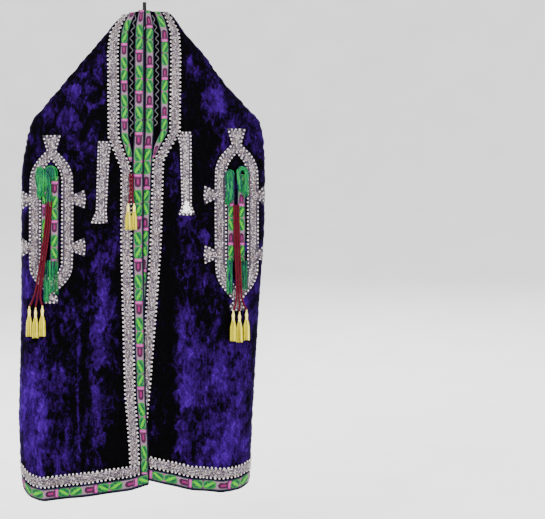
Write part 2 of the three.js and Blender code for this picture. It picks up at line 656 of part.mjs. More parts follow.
/** What an outline seen from the front cuts out of a layer over a front panel. */
function cutTrim(name, panel, outline, from, to, colour, look) {
  const reach = 300;
  const prism = new THREE.ExtrudeGeometry(outline, { depth: reach, bevelEnabled: false });
  prism.rotateX(Math.PI / 2);
  const layer = panel.layer(name, from, to, colour).geometry;
  return fromManifold(name, toManifold(layer).intersect(toManifold(prism)), colour, look);
}

/** A closed outline from the points of its right half, the left half being its mirror image. */
function symmetric(points, x, z, leftPoints = points) {
  const place = (sign) => (point) => new THREE.Vector2(x + sign * point.x, z + point.y);
  return [...points.map(place(1)), ...leftPoints.map(place(-1)).toReversed()];
}

/** Half width of a frame at height z of its straight stretch, whose sides bow out a little. */
const frameSide = (pocket, z) => FRAME.half + FRAME.bow * (1 - ((2 * z) / pocket.straight + 1) ** 2);

/** Points of a fan that stands out sideways from a frame at height z. */
function fanPoints(pocket, z, reach) {
  const far = FRAME.half + reach;
  return [
    new THREE.Vector2(frameSide(pocket, z + FAN.nearHalf), z + FAN.nearHalf),
    new THREE.Vector2(far, z + FAN.farHalf),
    new THREE.Vector2(far, z - FAN.farHalf),
    new THREE.Vector2(frameSide(pocket, z - FAN.nearHalf), z - FAN.nearHalf),
  ];
}

/** Right half of a frame's outer outline: finial, pointed arch, two fans, closing foot and base. */
function frameHalf(pocket, reach) {
  const footZ = -pocket.straight - pocket.foot;
  const arch = new THREE.Path();
  arch.moveTo(FRAME.finialHalf, FRAME.crown + FRAME.finialHeight);
  arch.lineTo(FRAME.finialNeck, FRAME.crown - 2);
  arch.bezierCurveTo(FRAME.half * 0.45, FRAME.crown * 0.8, FRAME.half, FRAME.crown * 0.55, FRAME.half, 0);
  const closing = new THREE.Path();
  closing.moveTo(FRAME.half, -pocket.straight);
  closing.bezierCurveTo(FRAME.half, footZ + pocket.foot * 0.45, FRAME.half * 0.5, footZ + pocket.foot * 0.3,
    FRAME.neckHalf, footZ);
  return [
    ...arch.getPoints(6), ...fanPoints(pocket, pocket.upperFans, reach),
    ...fanPoints(pocket, pocket.lowerFans, reach), ...closing.getPoints(5),
    new THREE.Vector2(FRAME.baseHalf, footZ - FRAME.baseTop),
    new THREE.Vector2(FRAME.baseHalf, footZ - FRAME.baseTop - FRAME.baseHeight),
  ];
}

/** Right half of a frame's inner outline. */
function frameHole(pocket) {
  const half = FRAME.half - FRAME.band;
  const top = FRAME.crown - FRAME.band + 4;
  const foot = -pocket.straight - pocket.foot + FRAME.band + 8;
  const inner = new THREE.Path();
  inner.moveTo(0.4, top);
  inner.bezierCurveTo(half * 0.4, top * 0.75, half, top * 0.5, half, 0);
  inner.lineTo(half, -pocket.straight);
  inner.quadraticCurveTo(half * 0.9, foot + 30, 0.4, foot);
  return inner.getPoints(6);
}

function pocketFrame(pocket, panel) {
  const outer = symmetric(frameHalf(pocket, pocket.reachRight), pocket.x, pocket.z,
    frameHalf(pocket, pocket.reachLeft));
  const shape = new THREE.Shape(outer);
  shape.holes.push(new THREE.Path(symmetric(frameHole(pocket), pocket.x, pocket.z).toReversed()));
  return cutTrim(`${pocket.name}_frame`, panel, shape, LIE, LIE + TRIM, COLOURS.beads, BEAD_LOOK);
}

/** An upright strip in a pocket's frame. */
function pocketStrip(name, pocket, panel, strip, from, to, colour) {
  const half = [new THREE.Vector2(strip.half, strip.top), new THREE.Vector2(strip.half, strip.foot)];
  const shape = new THREE.Shape(symmetric(half, pocket.x + strip.x, pocket.z));
  return cutTrim(name, panel, shape, from, to, colour);
}

function drop(spec) {
  const corners = [
    [spec.far, spec.top], [spec.joinX, spec.top], [spec.hipX, spec.hipZ], [spec.nearX, spec.nearZ],
    [spec.footNear, spec.footZ],
    [spec.fanMiddle - Math.sign(spec.far) * DROP_FAN_HALF, spec.fanZ],
    [spec.fanMiddle + Math.sign(spec.far) * DROP_FAN_HALF, spec.fanZ],
    [spec.footFar, spec.footZ],
  ];
  const shape = new THREE.Shape(corners.map(([x, z]) => new THREE.Vector2(x, z)));
  return cutTrim(spec.name, PANELS[spec.panel], shape, LIE, LIE + TRIM, COLOURS.beads, BEAD_LOOK);
}

// ---------- cords and tassels ----------

/** A tassel that hangs from one point towards another. */
function tassel(name, kind, top, foot) {
  const t = TASSELS[kind];
  const outline = [
    [0, -t.length], [t.skirt, -t.length], [t.skirt * 0.75, -lerp(t.waistAt, t.length, 0.4)],
    [t.waist, -t.waistAt], [t.head, -t.headAt], [t.neck, -t.headAt * 0.5], [t.neck, 0], [0, 0],
  ];
  const geometry = new THREE.LatheGeometry(outline.map(([r, z]) => new THREE.Vector2(r, z)), 8);
  const mesh = named(name, welded(geometry), COLOURS.yellow);
  mesh.position.copy(top);
  mesh.quaternion.setFromUnitVectors(new THREE.Vector3(0, -1, 0), foot.clone().sub(top).normalize());
  return mesh;
}

/** A tassel that hangs over a panel, given how far its top and its foot stand off it. */
function tasselOver(name, kind, panel, x, z, lift, footLift, lean = 0) {
  const top = panel.lifted(x, z, lift);
  const foot = panel.lifted(x + lean, z - TASSELS[kind].length, footLift);
  return tassel(name, kind, top, new THREE.Vector3(top.x + lean, foot.y, foot.z));
}

/** A round cord through points. */
function cord(name, points, radius, colour) {
  const route = new THREE.CatmullRomCurve3(points, false, "centripetal");
  const sides = 8;
  const section = new THREE.Shape(range(sides).map((side) => {
    const angle = (side / sides) * 2 * Math.PI;
    return new THREE.Vector2(radius * Math.cos(angle), radius * Math.sin(angle));
  }));
  const steps = Math.max(5, Math.round(route.getLength() / (6 * radius)));
  const geometry = new THREE.ExtrudeGeometry(section, { steps, extrudePath: route, bevelEnabled: false });
  return named(name, welded(geometry), colour);
}

/** A cord over a panel's trims with a tassel at its end. */
function tasselledCord(name, tasselName, kind, panel, route) {
  const topLift = LIE + TRIM + SEAM + CORD_RADIUS;
  const footLift = TASSELS[kind].skirt + LIE + TRIM + LIE;
  const points = [0, 0.25, 0.5, 0.75, 0.92, 1].map((share) => panel.lifted(
    lerp(route.topX, route.footX, share ** 1.4), lerp(route.topZ, route.footZ, share),
    lerp(topLift, footLift, smoothstep(share, 0.15, 0.7))));
  const foot = points.at(-1);
  const below = panel.lifted(route.footX, route.footZ - TASSELS[kind].length, footLift);
  const top = foot.clone().add(new THREE.Vector3(0, 0, -TASSEL_GAP));
  return [
    cord(name, points, CORD_RADIUS, COLOURS.red),
    tassel(tasselName, kind, top, new THREE.Vector3(top.x, below.y, below.z)),
  ];
}

function pocketCords(pocket, panel) {
  return pocket.cords.flatMap((end, index) => tasselledCord(
    `${pocket.name}_cord_${index + 1}`, `${pocket.name}_tassel_${index + 1}`, "pocket", panel,
    {
      topX: pocket.x + pocket.cordTop.x + (index - 1) * (2 * CORD_RADIUS + SEAM),
      topZ: pocket.z + pocket.cordTop.z,
      footX: pocket.x + end.x,
      footZ: pocket.z + end.z,
    }));
}

function neckCords() {
  return NECK_CORDS.flatMap((route, index) => tasselledCord(
    `neck_cord_${index + 1}`, `neck_tassel_${index + 1}`, "neck", frontLeft, route));
}

/** One pocket: its frame, the ribbons along its slit, its threads and its cords. */
function pocketPieces(pocket) {
  const panel = PANELS[pocket.panel];
  const threadsFrom = LIE + TRIM + SEAM;
  return [
    pocketFrame(pocket, panel),
    ...pocket.ribbons.map((strip) => pocketStrip(`${pocket.name}_ribbon_${strip.name}`, pocket, panel, strip,
      LIE, LIE + TRIM, COLOURS.ribbon)),
    ...pocket.threads.map((strip) => pocketStrip(`${pocket.name}_threads_${strip.name}`, pocket, panel, strip,
      threadsFrom, threadsFrom + THREAD_THICK, COLOURS.green)),
    ...pocketCords(pocket, panel),
  ];
}

// ---------- the back ----------

/** Closed loop of points round a false sleeve at one row of its table. */
function sleeveLoop(row, sides, inset, gap) {
  const width = Math.hypot(row.outX - row.inX, row.outZ - row.inZ);
  return range(sides).map((side) => {
    const angle = (side / sides) * 2 * Math.PI;
    const across = 0.5 + 0.5 * signedPower(Math.cos(angle), 0.7) * (1 - (2 * inset) / width);
    const rise = 0.5 + 0.5 * signedPower(Math.sin(angle), 0.6);
    const lift = gap + inset + (row.thick - 2 * inset) * rise;
    return back.lifted(lerp(row.inX, row.outX, across), lerp(row.inZ, row.outZ, across), lift);
  });
}

/** A false sleeve: a flattened tube with one wall all round, open at both ends, on the back. */
function falseSleeve(name, table) {
  const sides = 16;
  const rowCount = 19;
  const numbered = table.map((row, index) => ({ ...row, index }));
  const rows = range(rowCount).map((j) => {
    const at = (j / (rowCount - 1)) * (table.length - 1);
    return Object.fromEntries(Object.keys(table[0]).map((key) => [key, read(numbered, "index", key, at)]));
  });
  const gapOf = (j) => (j ? SLEEVE_LIE : SLEEVE_TOP_LIE);
  const loops = (inset) => rows.flatMap((row, j) => sleeveLoop(row, sides, inset, gapOf(j)));
  const outer = loops(0);
  const count = outer.length;
  const faces = [];
  const quad = (a, b, c, d) => faces.push([a, b, c], [a, c, d]);
  for (const side of range(sides)) {
    const next = (side + 1) % sides;
    for (const j of range(rowCount - 1)) {
      const [a, b] = [j * sides, (j + 1) * sides];
      quad(a + side, a + next, b + next, b + side);
      quad(count + a + next, count + a + side, count + b + side, count + b + next);
    }
    const last = (rowCount - 1) * sides;
    quad(next, side, count + side, count + next);
    quad(last + side, last + next, count + last + next, count + last + side);
  }
  const positions = [...outer, ...loops(WALL)].flatMap((point) => point.toArray());
  const sleeve = toManifold(solid(name, positions, faces, COLOURS.velvet).geometry);
  const bed = toManifold(back.layer("bed", -WALL, SLEEVE_CLEAR, COLOURS.velvet).geometry);
  return fromManifold(name, sleeve.subtract(bed), COLOURS.velvet);
}

/** Unit vector down a back braid, in x and z. */
const braidRun = (spec) => new THREE.Vector2(spec.footX - spec.topX, spec.footZ - spec.topZ).normalize();

/** A braid over a sleeve's end, a flat bar that bends with the back. */
function backBraid(spec) {
  const steps = 5;
  const run = braidRun(spec);
  const samples = range(steps).map((j) => j / (steps - 1)).flatMap((share) => {
    const [x, z] = [lerp(spec.topX, spec.footX, share), lerp(spec.topZ, spec.footZ, share)];
    const { point } = back.over(x, z);
    return [-0.5, 0, 0.5].map((side) => {
      const at = side * (share ? BRAID.width : BRAID.topWidth);
      return {
        point: new THREE.Vector3(x - run.y * at, point.y, z + run.x * at),
        normal: new THREE.Vector3(0, 1, 0),
      };
    });
  });
  return slab(spec.name, samples, gridFaces(3, steps), BRAID.lift, BRAID.lift + BRAID.thick, COLOURS.green);
}

/** The two large tassels under a back braid's end. */
function braidTassels(spec, firstNumber) {
  const run = braidRun(spec);
  const t = TASSELS.large;
  const apart = t.skirt + 0.4;
  const y = back.over(spec.footX, spec.footZ).point.y + BRAID.lift + BRAID.thick / 2;
  return [-1, 1].map((sign, index) => {
    const x = spec.footX + sign * apart;
    const edge = spec.footZ - (sign * apart * run.x) / run.y;
    const drop = TASSEL_GAP + Math.abs(run.x / run.y) * t.neck;
    const top = new THREE.Vector3(x, y, edge - drop);
    const foot = back.lifted(x, top.z - t.length, t.skirt + BRAID.thick + LIE + TRIM + LIE);
    return tassel(`back_tassel_${firstNumber + index}`, "large", top, new THREE.Vector3(x, foot.y, foot.z));
  });
}

function smallTassels() {
  const t = TASSELS.small;
  const overBraid = BRAID.lift + BRAID.thick;
  return SMALL_TASSELS.map(({ x, z, onBraid, lean }, index) => {
    const lift = onBraid ? overBraid + t.head : BRAID.lift;
    const footLift = onBraid ? overBraid + BRAID.thick + t.skirt : BRAID.lift;
    return tasselOver(`small_tassel_${index + 1}`, "small", back, x, z, lift, footLift, lean);
  });
}

/** Route over the back, as far off it as the braids. */
const overBack = (route) => route.map(({ x, z }) => back.lifted(x, z, BRAID.lift));

/** The knot that ties the two braids together. */
function tieKnot() {
  const geometry = new THREE.SphereGeometry(KNOT.radius, 10, 8);
  geometry.scale(0.9, 0.55, 1.3);
  const mesh = named("tie_knot", welded(geometry), COLOURS.silver);
  mesh.position.copy(back.lifted(KNOT.x, KNOT.z, BRAID.lift));
  return mesh;
}

// ---------- the hanger ----------

/** Point of an arm's middle line, under the inside of the shoulder ridge. */
function armPoint(ridge, sign, z) {
  const slope = (ridge(z + 10) - ridge(z - 10)) / 20;
  const normal = new THREE.Vector2(sign, -sign * slope).normalize();
  const inset = WALL + ARM.clearance + ARM.radius;
  return new THREE.Vector3(ridge(z) - normal.x * inset, 0, z - normal.y * inset);
}

/** Stem and two short arms, one body. */
function hanger() {
  const leftArm = ARM.heights.map((z) => armPoint(leftSide, -1, z));
  const rightArm = ARM.heights.toReversed().map((z) => armPoint(rightSide, 1, z));
  const route = new THREE.CatmullRomCurve3([...leftArm, new THREE.Vector3(0, 0, ARM.root), ...rightArm],
    false, "centripetal");
  const section = new THREE.Shape(range(10).map((side) => {
    const angle = (side / 10) * 2 * Math.PI;
    return new THREE.Vector2(ARM.radius * Math.cos(angle), ARM.radius * Math.sin(angle));
  }));
  const bar = new THREE.ExtrudeGeometry(section, { steps: 20, extrudePath: route, bevelEnabled: false });
  const stem = new THREE.CylinderGeometry(STEM.radius, STEM.radius, STEM.length, 16);
  stem.rotateX(Math.PI / 2);
  stem.translate(0, 0, -STEM.length / 2);
  return fromManifold("hanger", toManifold(bar).add(toManifold(stem)), COLOURS.steel,
    { metalness: 0.6, roughness: 0.5 });
}

// ---------- the whole ----------

const group = new THREE.Group();
group.add(
  hanger(),
  frontLeft.layer("front_left", -WALL, 0, COLOURS.velvet),
  frontRight.layer("front_right", -WALL, 0, COLOURS.velvet),
  back.layer("back", -WALL, 0, COLOURS.velvet),
  falseSleeve("false_sleeve_left", SLEEVE_LEFT),
  falseSleeve("false_sleeve_right", SLEEVE_RIGHT),
  ...frontTrims("left", frontLeft),
  ...frontTrims("right", frontRight),
  ...backTrims(),
  ...DROPS.map(drop),
  ...POCKETS.flatMap(pocketPieces),
  ...neckCords(),
  ...BACK_BRAIDS.flatMap((spec, index) => [backBraid(spec), ...braidTassels(spec, 2 * index + 1)]),
  tieKnot(),
  ...smallTassels(),
  cord("pendant_cord", overBack(PENDANT_CORD), PENDANT_RADIUS, COLOURS.silver),
  cord("coral_cord", overBack(CORAL_CORD), CORAL_RADIUS, COLOURS.coral),
);

export default group;
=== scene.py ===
"""A paranja, a Central Asian head cloak of crushed velvet, on its hanger.

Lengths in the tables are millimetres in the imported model's frame: +Z up, the front faces -Y, and
the origin is the top of the hanger's stem. Meshes are written in metres.
"""

import math
from collections import namedtuple
from functools import cached_property

import bpy
import numpy as np
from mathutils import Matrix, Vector
from mathutils.geometry import delaunay_2d_cdt


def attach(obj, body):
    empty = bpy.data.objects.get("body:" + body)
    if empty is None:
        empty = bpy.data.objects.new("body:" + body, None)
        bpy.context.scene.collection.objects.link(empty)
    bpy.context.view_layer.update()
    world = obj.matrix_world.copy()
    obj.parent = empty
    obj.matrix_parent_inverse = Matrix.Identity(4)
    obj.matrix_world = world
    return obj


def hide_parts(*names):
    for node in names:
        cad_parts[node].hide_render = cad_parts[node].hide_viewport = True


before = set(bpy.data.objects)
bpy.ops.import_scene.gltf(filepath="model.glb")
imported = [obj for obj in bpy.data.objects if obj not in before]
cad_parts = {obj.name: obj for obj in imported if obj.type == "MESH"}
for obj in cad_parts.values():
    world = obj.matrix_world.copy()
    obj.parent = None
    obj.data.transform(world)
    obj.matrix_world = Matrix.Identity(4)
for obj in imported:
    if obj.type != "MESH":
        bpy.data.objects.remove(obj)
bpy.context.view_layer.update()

MM = 0.001
FRONT, BACK = -1, 1
TAU, QUARTER = 2 * math.pi, math.pi / 2
RNG = np.random.default_rng(1889)

# ---------- the cloak's cut, as in the solids ----------
# Level sections: height, half width to the left and right, depth in front and behind, squareness.
LEFT_HALF, RIGHT_HALF, FRONT_DEPTH, BACK_DEPTH, SQUARENESS = range(1, 6)
SECTIONS = np.array([
    (-30, 62, 84, 21, 19, 2.6), (-58, 86, 98, 25, 24, 2.6), (-90, 112, 119, 30, 28, 2.7),
    (-157, 170, 181, 40, 38, 2.8), (-250, 249, 246, 52, 52, 2.9), (-325, 312, 315, 61, 62, 3.0),
    (-371, 351, 360, 67, 68, 3.0), (-440, 367, 370, 76, 78, 3.1), (-520, 380, 373, 84, 88, 3.2),
    (-700, 381, 371, 97, 104, 3.2), (-950, 381, 353, 107, 118, 3.2), (-1140, 385, 342, 114, 126, 3.1),
    (-1280, 389, 334, 118, 131, 3.0), (-1400, 384, 329, 120, 133, 2.9), (-1540, 371, 316, 119, 133, 2.8),
])
SHAPE_REACH, DEPTH_REACH = 12, 30  # how far up and down the widths and depths are evened out
SEAM_RUMPLE = 2.6
NEVER = -3000  # far below the hem
# Large folds: x at the top and foot, width, out, and the heights where they start, are full and are gone.
FOLDS = {
    FRONT: [
        (-260, -322, 56, 7, -980, -1300, NEVER), (-215, -240, 50, -7, -980, -1300, NEVER),
        (-140, -158, 55, 7, -500, -1100, NEVER), (100, 84, 46, -6, -700, -1200, NEVER),
        (150, 138, 50, 7, -500, -1100, NEVER), (210, 196, 46, -6, -1000, -1300, NEVER),
        (262, 256, 50, 7, -1000, -1300, NEVER),
    ],
    BACK: [
        (52, 46, 32, 8, -180, -460, -900), (18, 22, 30, -8, -160, -460, -1100),
        (-18, 0, 30, 8, -160, -460, -1000), (-54, -40, 28, -8, -160, -460, -900),
        (-40, -38, 40, -34, -1240, -1470, NEVER), (-110, -122, 58, 12, -1330, -1490, NEVER),
        (100, 124, 52, -13, -1200, -1500, NEVER), (214, 228, 60, 15, -1240, -1490, NEVER),
        (325, 298, 40, -7, -900, -1300, NEVER), (-330, -298, 50, -8, -900, -1300, NEVER),
    ],
}
# Small soft creases: x and z of the top, x and z of the foot, half width, out.
CREASES = {
    FRONT: [
        (-96, -120, -240, -330, 14, 2.0), (-130, -190, -262, -360, 12, -1.8),
        (-150, -300, -226, -520, 12, 2.2), (-182, -380, -196, -700, 11, -2.0),
        (-128, -700, -120, -1120, 12, 2.2), (-166, -760, -176, -1180, 12, -2.2),
        (-74, -900, -66, -1440, 12, -2.4), (-200, -900, -214, -1440, 12, 2.4),
        (-286, -980, -300, -1460, 13, -2.4), (-346, -700, -352, -1200, 10, 2.0),
        (128, -130, 250, -330, 14, 2.0), (158, -240, 270, -420, 12, -1.8), (176, -330, 198, -640, 12, 2.2),
        (152, -480, 158, -900, 11, -2.0), (92, -620, 96, -1100, 12, 2.2), (62, -760, 40, -1430, 13, -2.4),
        (186, -860, 170, -1440, 12, 2.4), (238, -960, 226, -1450, 12, -2.4),
        (300, -900, 290, -1420, 12, 2.2), (344, -560, 336, -900, 10, -1.8),
    ],
    BACK: [
        (80, -110, 96, -420, 12, 2.4), (118, -150, 110, -300, 12, -2.0), (-84, -110, -100, -420, 12, 2.4),
        (-116, -150, -112, -300, 12, -2.0), (70, -520, 60, -1080, 12, 2.2),
        (-64, -560, -30, -1000, 12, -2.2), (330, -460, 336, -1100, 14, 2.4),
        (300, -760, 312, -1440, 13, -2.6), (262, -900, 268, -1450, 12, 2.4),
        (-322, -480, -330, -1100, 14, 2.4), (-292, -820, -306, -1440, 13, -2.6),
        (-236, -1000, -250, -1450, 14, 2.6), (-196, -1100, -190, -1450, 13, -2.4),
        (170, -1180, 176, -1440, 13, 2.6),
    ],
}
NECK_CORNER = -54
HEM_LEVEL = -1500
# Height of the neckline by its share of the half width.
NECKLINE = {
    FRONT: [(-1, -54), (-0.86, -47), (-0.6, -36), (-0.3, -32), (-0.16, -27), (0.1, -27), (0.3, -32),
            (0.8, -33), (0.92, -40), (1, -54)],
    BACK: [(-1, -54), (-0.55, -60), (0, -80), (0.55, -60), (1, -54)],
}
# Height of the hem by its place.
HEM_LEFT_FRONT = [(-378, -1490), (-352, -1518), (-310, -1528), (-234, -1518), (-129, -1502), (-40, -1490),
                  (11, -1473)]
HEM_RIGHT_FRONT = [(-70, -1462), (11, -1461), (76, -1476), (140, -1489), (225, -1500), (290, -1494),
                   (318, -1482)]
HEM_BACK = [(-378, -1490), (-320, -1484), (-190, -1494), (-100, -1482), (-60, -1468), (-36, -1466),
            (-8, -1486), (25, -1492), (110, -1490), (180, -1502), (235, -1516), (290, -1504), (318, -1482)]
# What lies along a front edge: z, the edge, the far side of its ribbon, the near side of the
# hood's second ribbon, and both sides of the bead braid.
EDGE, RIBBON, HOOD, NEAR, FAR = range(1, 6)
LEFT_EDGE = np.array([
    (-27, 0, -17, -26, -46, -64), (-50, -1, -21, -33, -55, -75), (-70, -2, -26, -41, -66, -89),
    (-98, -2, -29, -49, -76, -107), (-159, -2, -30, -51, -79, -115), (-425, -2, -32, -48, -76, -112),
    (-470, -3, -34, -44, -60, -95), (-525, -4, -36, -37, -38, -73), (-768, -5, -35, -36, -37, -73),
    (-1205, 2, -24, -25, -26, -61), (-1358, 10, -13, -14, -15, -48), (-1540, 12, -8, -9, -10, -42),
])
RIGHT_EDGE = np.array([
    (-27, 2, 17, 27, 50, 70), (-50, 2, 22, 36, 62, 83), (-70, 3, 27, 42, 70, 95),
    (-98, 3, 29, 49, 77, 108), (-159, 4, 29, 51, 79, 113), (-410, 1, 28, 49, 75, 110),
    (-450, -3, 25, 38, 52, 87), (-500, -6, 22, 23, 24, 60), (-768, -16, 13, 14, 15, 51),
    (-925, -27, 2, 3, 4, 40), (-1140, -43, -15, -14, -13, 23), (-1344, -62, -34, -33, -32, 4),
    (-1540, -70, -42, -41, -40, -4),
])
UNDERLAP, UNDERLAP_FADE = 6.5, 60
HEM_BINDING, HEM_RIBBON_TOP, HEM_BRAID_FOOT, HEM_BRAID_TOP = 5, 36, 39, 75
NECK_BRAID_WIDTH, NECK_INSET = 38, 1.5
HOOD_RIBBON_END, HOOD_RIBBON_SHARE, HOOD_RIBBON_LEAST = -500, 0.88, 22
WALL = 2.0


def column(rows, name, at):
    """A table's column at places along its first column, straight between rows."""
    rows = np.asarray(rows, float)
    order = np.argsort(rows[:, 0])
    return np.interp(at, rows[order, 0], rows[order, name])


def soft_column(rows, name, at, reach):
    """A column with its corners rounded over a reach to both sides."""
    return sum(column(rows, name, at + step) for step in (-reach, 0, reach)) / 3


def smoothstep(value, low, high):
    """A smooth rise from 0 at one value to 1 at another."""
    share = np.clip((value - low) / (high - low), 0, 1)
    return share * share * (3 - 2 * share)


def spow(value, power):
    """A power that keeps the sign."""
    return np.sign(value) * np.abs(value) ** power


def hump(off):
    """A smooth hill, 1 at 0 and gone at -1 and 1."""
    return (1 + np.cos(np.pi * np.minimum(np.abs(off), 1))) / 2


def distances(line):
    """How far along a line each of its points is."""
    return np.concatenate([[0], np.cumsum(np.linalg.norm(np.diff(line, axis=0), axis=1))])


def along(line, run, at):
    """Points at distances along a line whose own points lie at the distances in run."""
    return np.stack([np.interp(at, run, line[:, k]) for k in range(line.shape[1])], -1)


def turns(sides):
    """Even angles once round."""
    return np.linspace(0, TAU, sides, endpoint=False)


def unit(vectors):
    """The vectors at a length of 1."""
    return vectors / np.maximum(np.linalg.norm(vectors, axis=-1, keepdims=True), 1e-9)


def evened(points, middle_weight):
    """A line with each inner point moved towards its neighbours."""
    points = points.copy()
    points[1:-1] = (points[:-2] + middle_weight * points[1:-1] + points[2:]) / (middle_weight + 2)
    return points


def seam_wobble(z):
    """The small bumps of a gathered seam, from -1 to 1."""
    return 0.55 * np.sin(z / 4.1 + 2.2 * np.sin(z / 23)) + 0.45 * np.sin(z / 9.7 + 1.3)


def section(side, z):
    """Middle, half width, depth and squareness of the cloak's section at a height."""
    rumple = SEAM_RUMPLE * smoothstep(-z, 60, 160) * (1 - 0.6 * smoothstep(-z, 420, 520))
    left = soft_column(SECTIONS, LEFT_HALF, z, SHAPE_REACH) + rumple * seam_wobble(z)
    right = soft_column(SECTIONS, RIGHT_HALF, z, SHAPE_REACH) + rumple * seam_wobble(z - 5000)
    depth = soft_column(SECTIONS, FRONT_DEPTH if side == FRONT else BACK_DEPTH, z, DEPTH_REACH)
    return (right - left) / 2, (right + left) / 2, depth, column(SECTIONS, SQUARENESS, z)


def lattice_noise(x, y, size, seed):
    """Smooth noise from -1 to 1 whose hills are about `size` across."""
    count = 128
    grid = np.random.default_rng(seed).uniform(-1, 1, (count, count))
    u, v = np.asarray(x, float) / size, np.asarray(y, float) / size
    i, j = np.floor(u).astype(int), np.floor(v).astype(int)
    a, b = smoothstep(u - i, 0, 1), smoothstep(v - j, 0, 1)

    def row(dj):
        return grid[i % count, (j + dj) % count] * (1 - a) + grid[(i + 1) % count, (j + dj) % count] * a
    return row(0) * (1 - b) + row(1) * b


def folds_at(side, x, z):
    """How far the large folds stand out at places on one side."""
    total = np.zeros(np.broadcast(x, z).shape)
    for top, bottom, width, out, start, full, gone in FOLDS[side]:
        run = np.clip((z - start) / (HEM_LEVEL - start), 0, 1)
        off = (x - (top + (bottom - top) * run)) / width
        grown = smoothstep(-z, -start, -full) * (1 - smoothstep(-z, -full, -gone))
        total += out * grown * hump(off)
    return total


def creases_at(side, x, z):
    """How far the small soft creases stand out."""
    total = np.zeros(np.broadcast(x, z).shape)
    for x0, z0, x1, z1, half, out in CREASES[side]:
        run = np.clip((z - z0) / (z1 - z0), -0.2, 1.2)
        wander = 5 * np.sin(run * 7 + x0)
        ends = smoothstep(run, -0.1, 0.25) * (1 - smoothstep(run, 0.75, 1.1))
        total += out * ends * hump((x - (x0 + (x1 - x0) * run) - wander) / half)
    return total


class Side:
    """The front or the back of the cloak: a surface over an angle round it and a height.

    Angles run from -pi/2 at the left seam to pi/2 at the right one.
    """

    LEVELS = np.linspace(-1560, -20, 90)
    ANGLES = np.linspace(-QUARTER, QUARTER, 181)
    SHARES = 121
    ANGLE_STEP, HEIGHT_STEP = 0.012, 3.0  # to either side, for the surface's normal

    def __init__(self, side, edges, hem, behind=False):
        self.side, self.edges, self.hem, self.behind = side, edges, hem, behind

    def raw(self, angle, z):
        """Points of the cloth at angles and heights."""
        angle, z = np.broadcast_arrays(np.asarray(angle, float), np.asarray(z, float))
        middle, half, depth, power = section(self.side, z)
        x = middle + half * spow(np.sin(angle), 2 / power)
        bulge = np.clip(np.cos(angle), 0, 1) ** (2 / power)
        relief = folds_at(self.side, x, z) + creases_at(self.side, x, z)
        y = self.side * (depth * bulge + relief * smoothstep(bulge, 0, 0.6))
        if self.behind:
            edge = column(LEFT_EDGE, EDGE, z) + 4
            y = y + UNDERLAP * (1 - smoothstep(x, edge, edge + UNDERLAP_FADE))
        return np.stack([x, y, z], -1)

    def at(self, angle, z, lift=0.0):
        """Points lifted off the surface along its normal, and the normals."""
        before = np.clip(angle - self.ANGLE_STEP, -QUARTER, QUARTER)
        after = np.clip(angle + self.ANGLE_STEP, -QUARTER, QUARTER)
        across = self.raw(after, z) - self.raw(before, z)
        up = self.raw(angle, z + self.HEIGHT_STEP) - self.raw(angle, z - self.HEIGHT_STEP)
        normal = np.cross(across, up) * -self.side
        normal /= np.linalg.norm(normal, axis=-1, keepdims=True)
        return self.raw(angle, z) + normal * np.asarray(lift)[..., None], normal

    def angle_of(self, x, z):
        """The angle at which the section at height z is over x."""
        middle, half, _, power = section(self.side, z)
        return np.arcsin(np.clip(spow((x - middle) / half, power / 2), -1, 1))

    def over(self, x, z, lift=0.0):
        """Points over places given as seen from in front."""
        return self.at(self.angle_of(x, z), z, lift)[0]

    def point_over(self, x, z, lift):
        return self.over(np.array([x]), np.array([z], float), np.array([lift], float))[0]

    @cached_property
    def widths(self):
        """The angles at even shares of the cloth's width, for each level."""
        rows = []
        for level in self.LEVELS:
            _, half, depth, power = section(self.side, level)
            x = half * spow(np.sin(self.ANGLES), 2 / power)
            y = depth * np.clip(np.cos(self.ANGLES), 0, 1) ** (2 / power)
            length = distances(np.stack([x, y], -1))
            rows.append(np.interp(np.linspace(0, 1, self.SHARES), length / length[-1], self.ANGLES))
        return np.array(rows)

    def spread(self, share, z):
        """The angle at a share of the cloth's width from the left seam, at height z."""
        i = np.clip((z - self.LEVELS[0]) / (self.LEVELS[1] - self.LEVELS[0]), 0, len(self.LEVELS) - 1.001)
        j = np.clip(share, 0, 1) * (self.SHARES - 1.001)
        a, b = i.astype(int), j.astype(int)
        u, v = i - a, j - b
        low = self.widths[a, b] * (1 - u) + self.widths[a + 1, b] * u
        high = self.widths[a, b + 1] * (1 - u) + self.widths[a + 1, b + 1] * u
        return low * (1 - v) + high * v


LEFT = Side(FRONT, LEFT_EDGE, HEM_LEFT_FRONT)
RIGHT = Side(FRONT, RIGHT_EDGE, HEM_RIGHT_FRONT, behind=True)
REAR = Side(BACK, None, HEM_BACK)


def neck_height(side, x):
    """The height of the neckline over places across it."""
    middle, half, _, _ = section(side, NECK_CORNER)
    share = np.where(x < 0, x / (half - middle), x / (half + middle))
    return column(NECKLINE[side], 1, share)


def hem_height(cloth, x):
    """The height of a panel's hem over places across it."""
    return soft_column(cloth.hem, 1, x, 8)


# ---------- meshes ----------
def grid_faces(rows, columns, start=0, closed=False):
    """Quads of a grid stored row by row; closed joins the last column to the first."""
    j, i = np.meshgrid(np.arange(rows - 1), np.arange(columns if closed else columns - 1), indexing="ij")
    a, b = j * columns + i, j * columns + (i + 1) % columns
    return (np.stack([a, b, b + columns, a + columns], -1) + start).reshape(-1, 4)


def end_fans(rows, sides):
    """Triangles from a tube's first and last rings to two points stored after the rings."""
    k = np.arange(sides)
    after, last, count = (k + 1) % sides, (rows - 1) * sides, np.full(sides, rows * sides)
    return np.concatenate([np.stack([k, after, count], -1),
                           np.stack([last + after, last + k, count + 1], -1)])


def tube_faces(rows, sides):
    """Faces of a tube of rings that is closed at both ends."""
    return [grid_faces(rows, sides, 0, True)[:, ::-1], end_fans(rows, sides)]


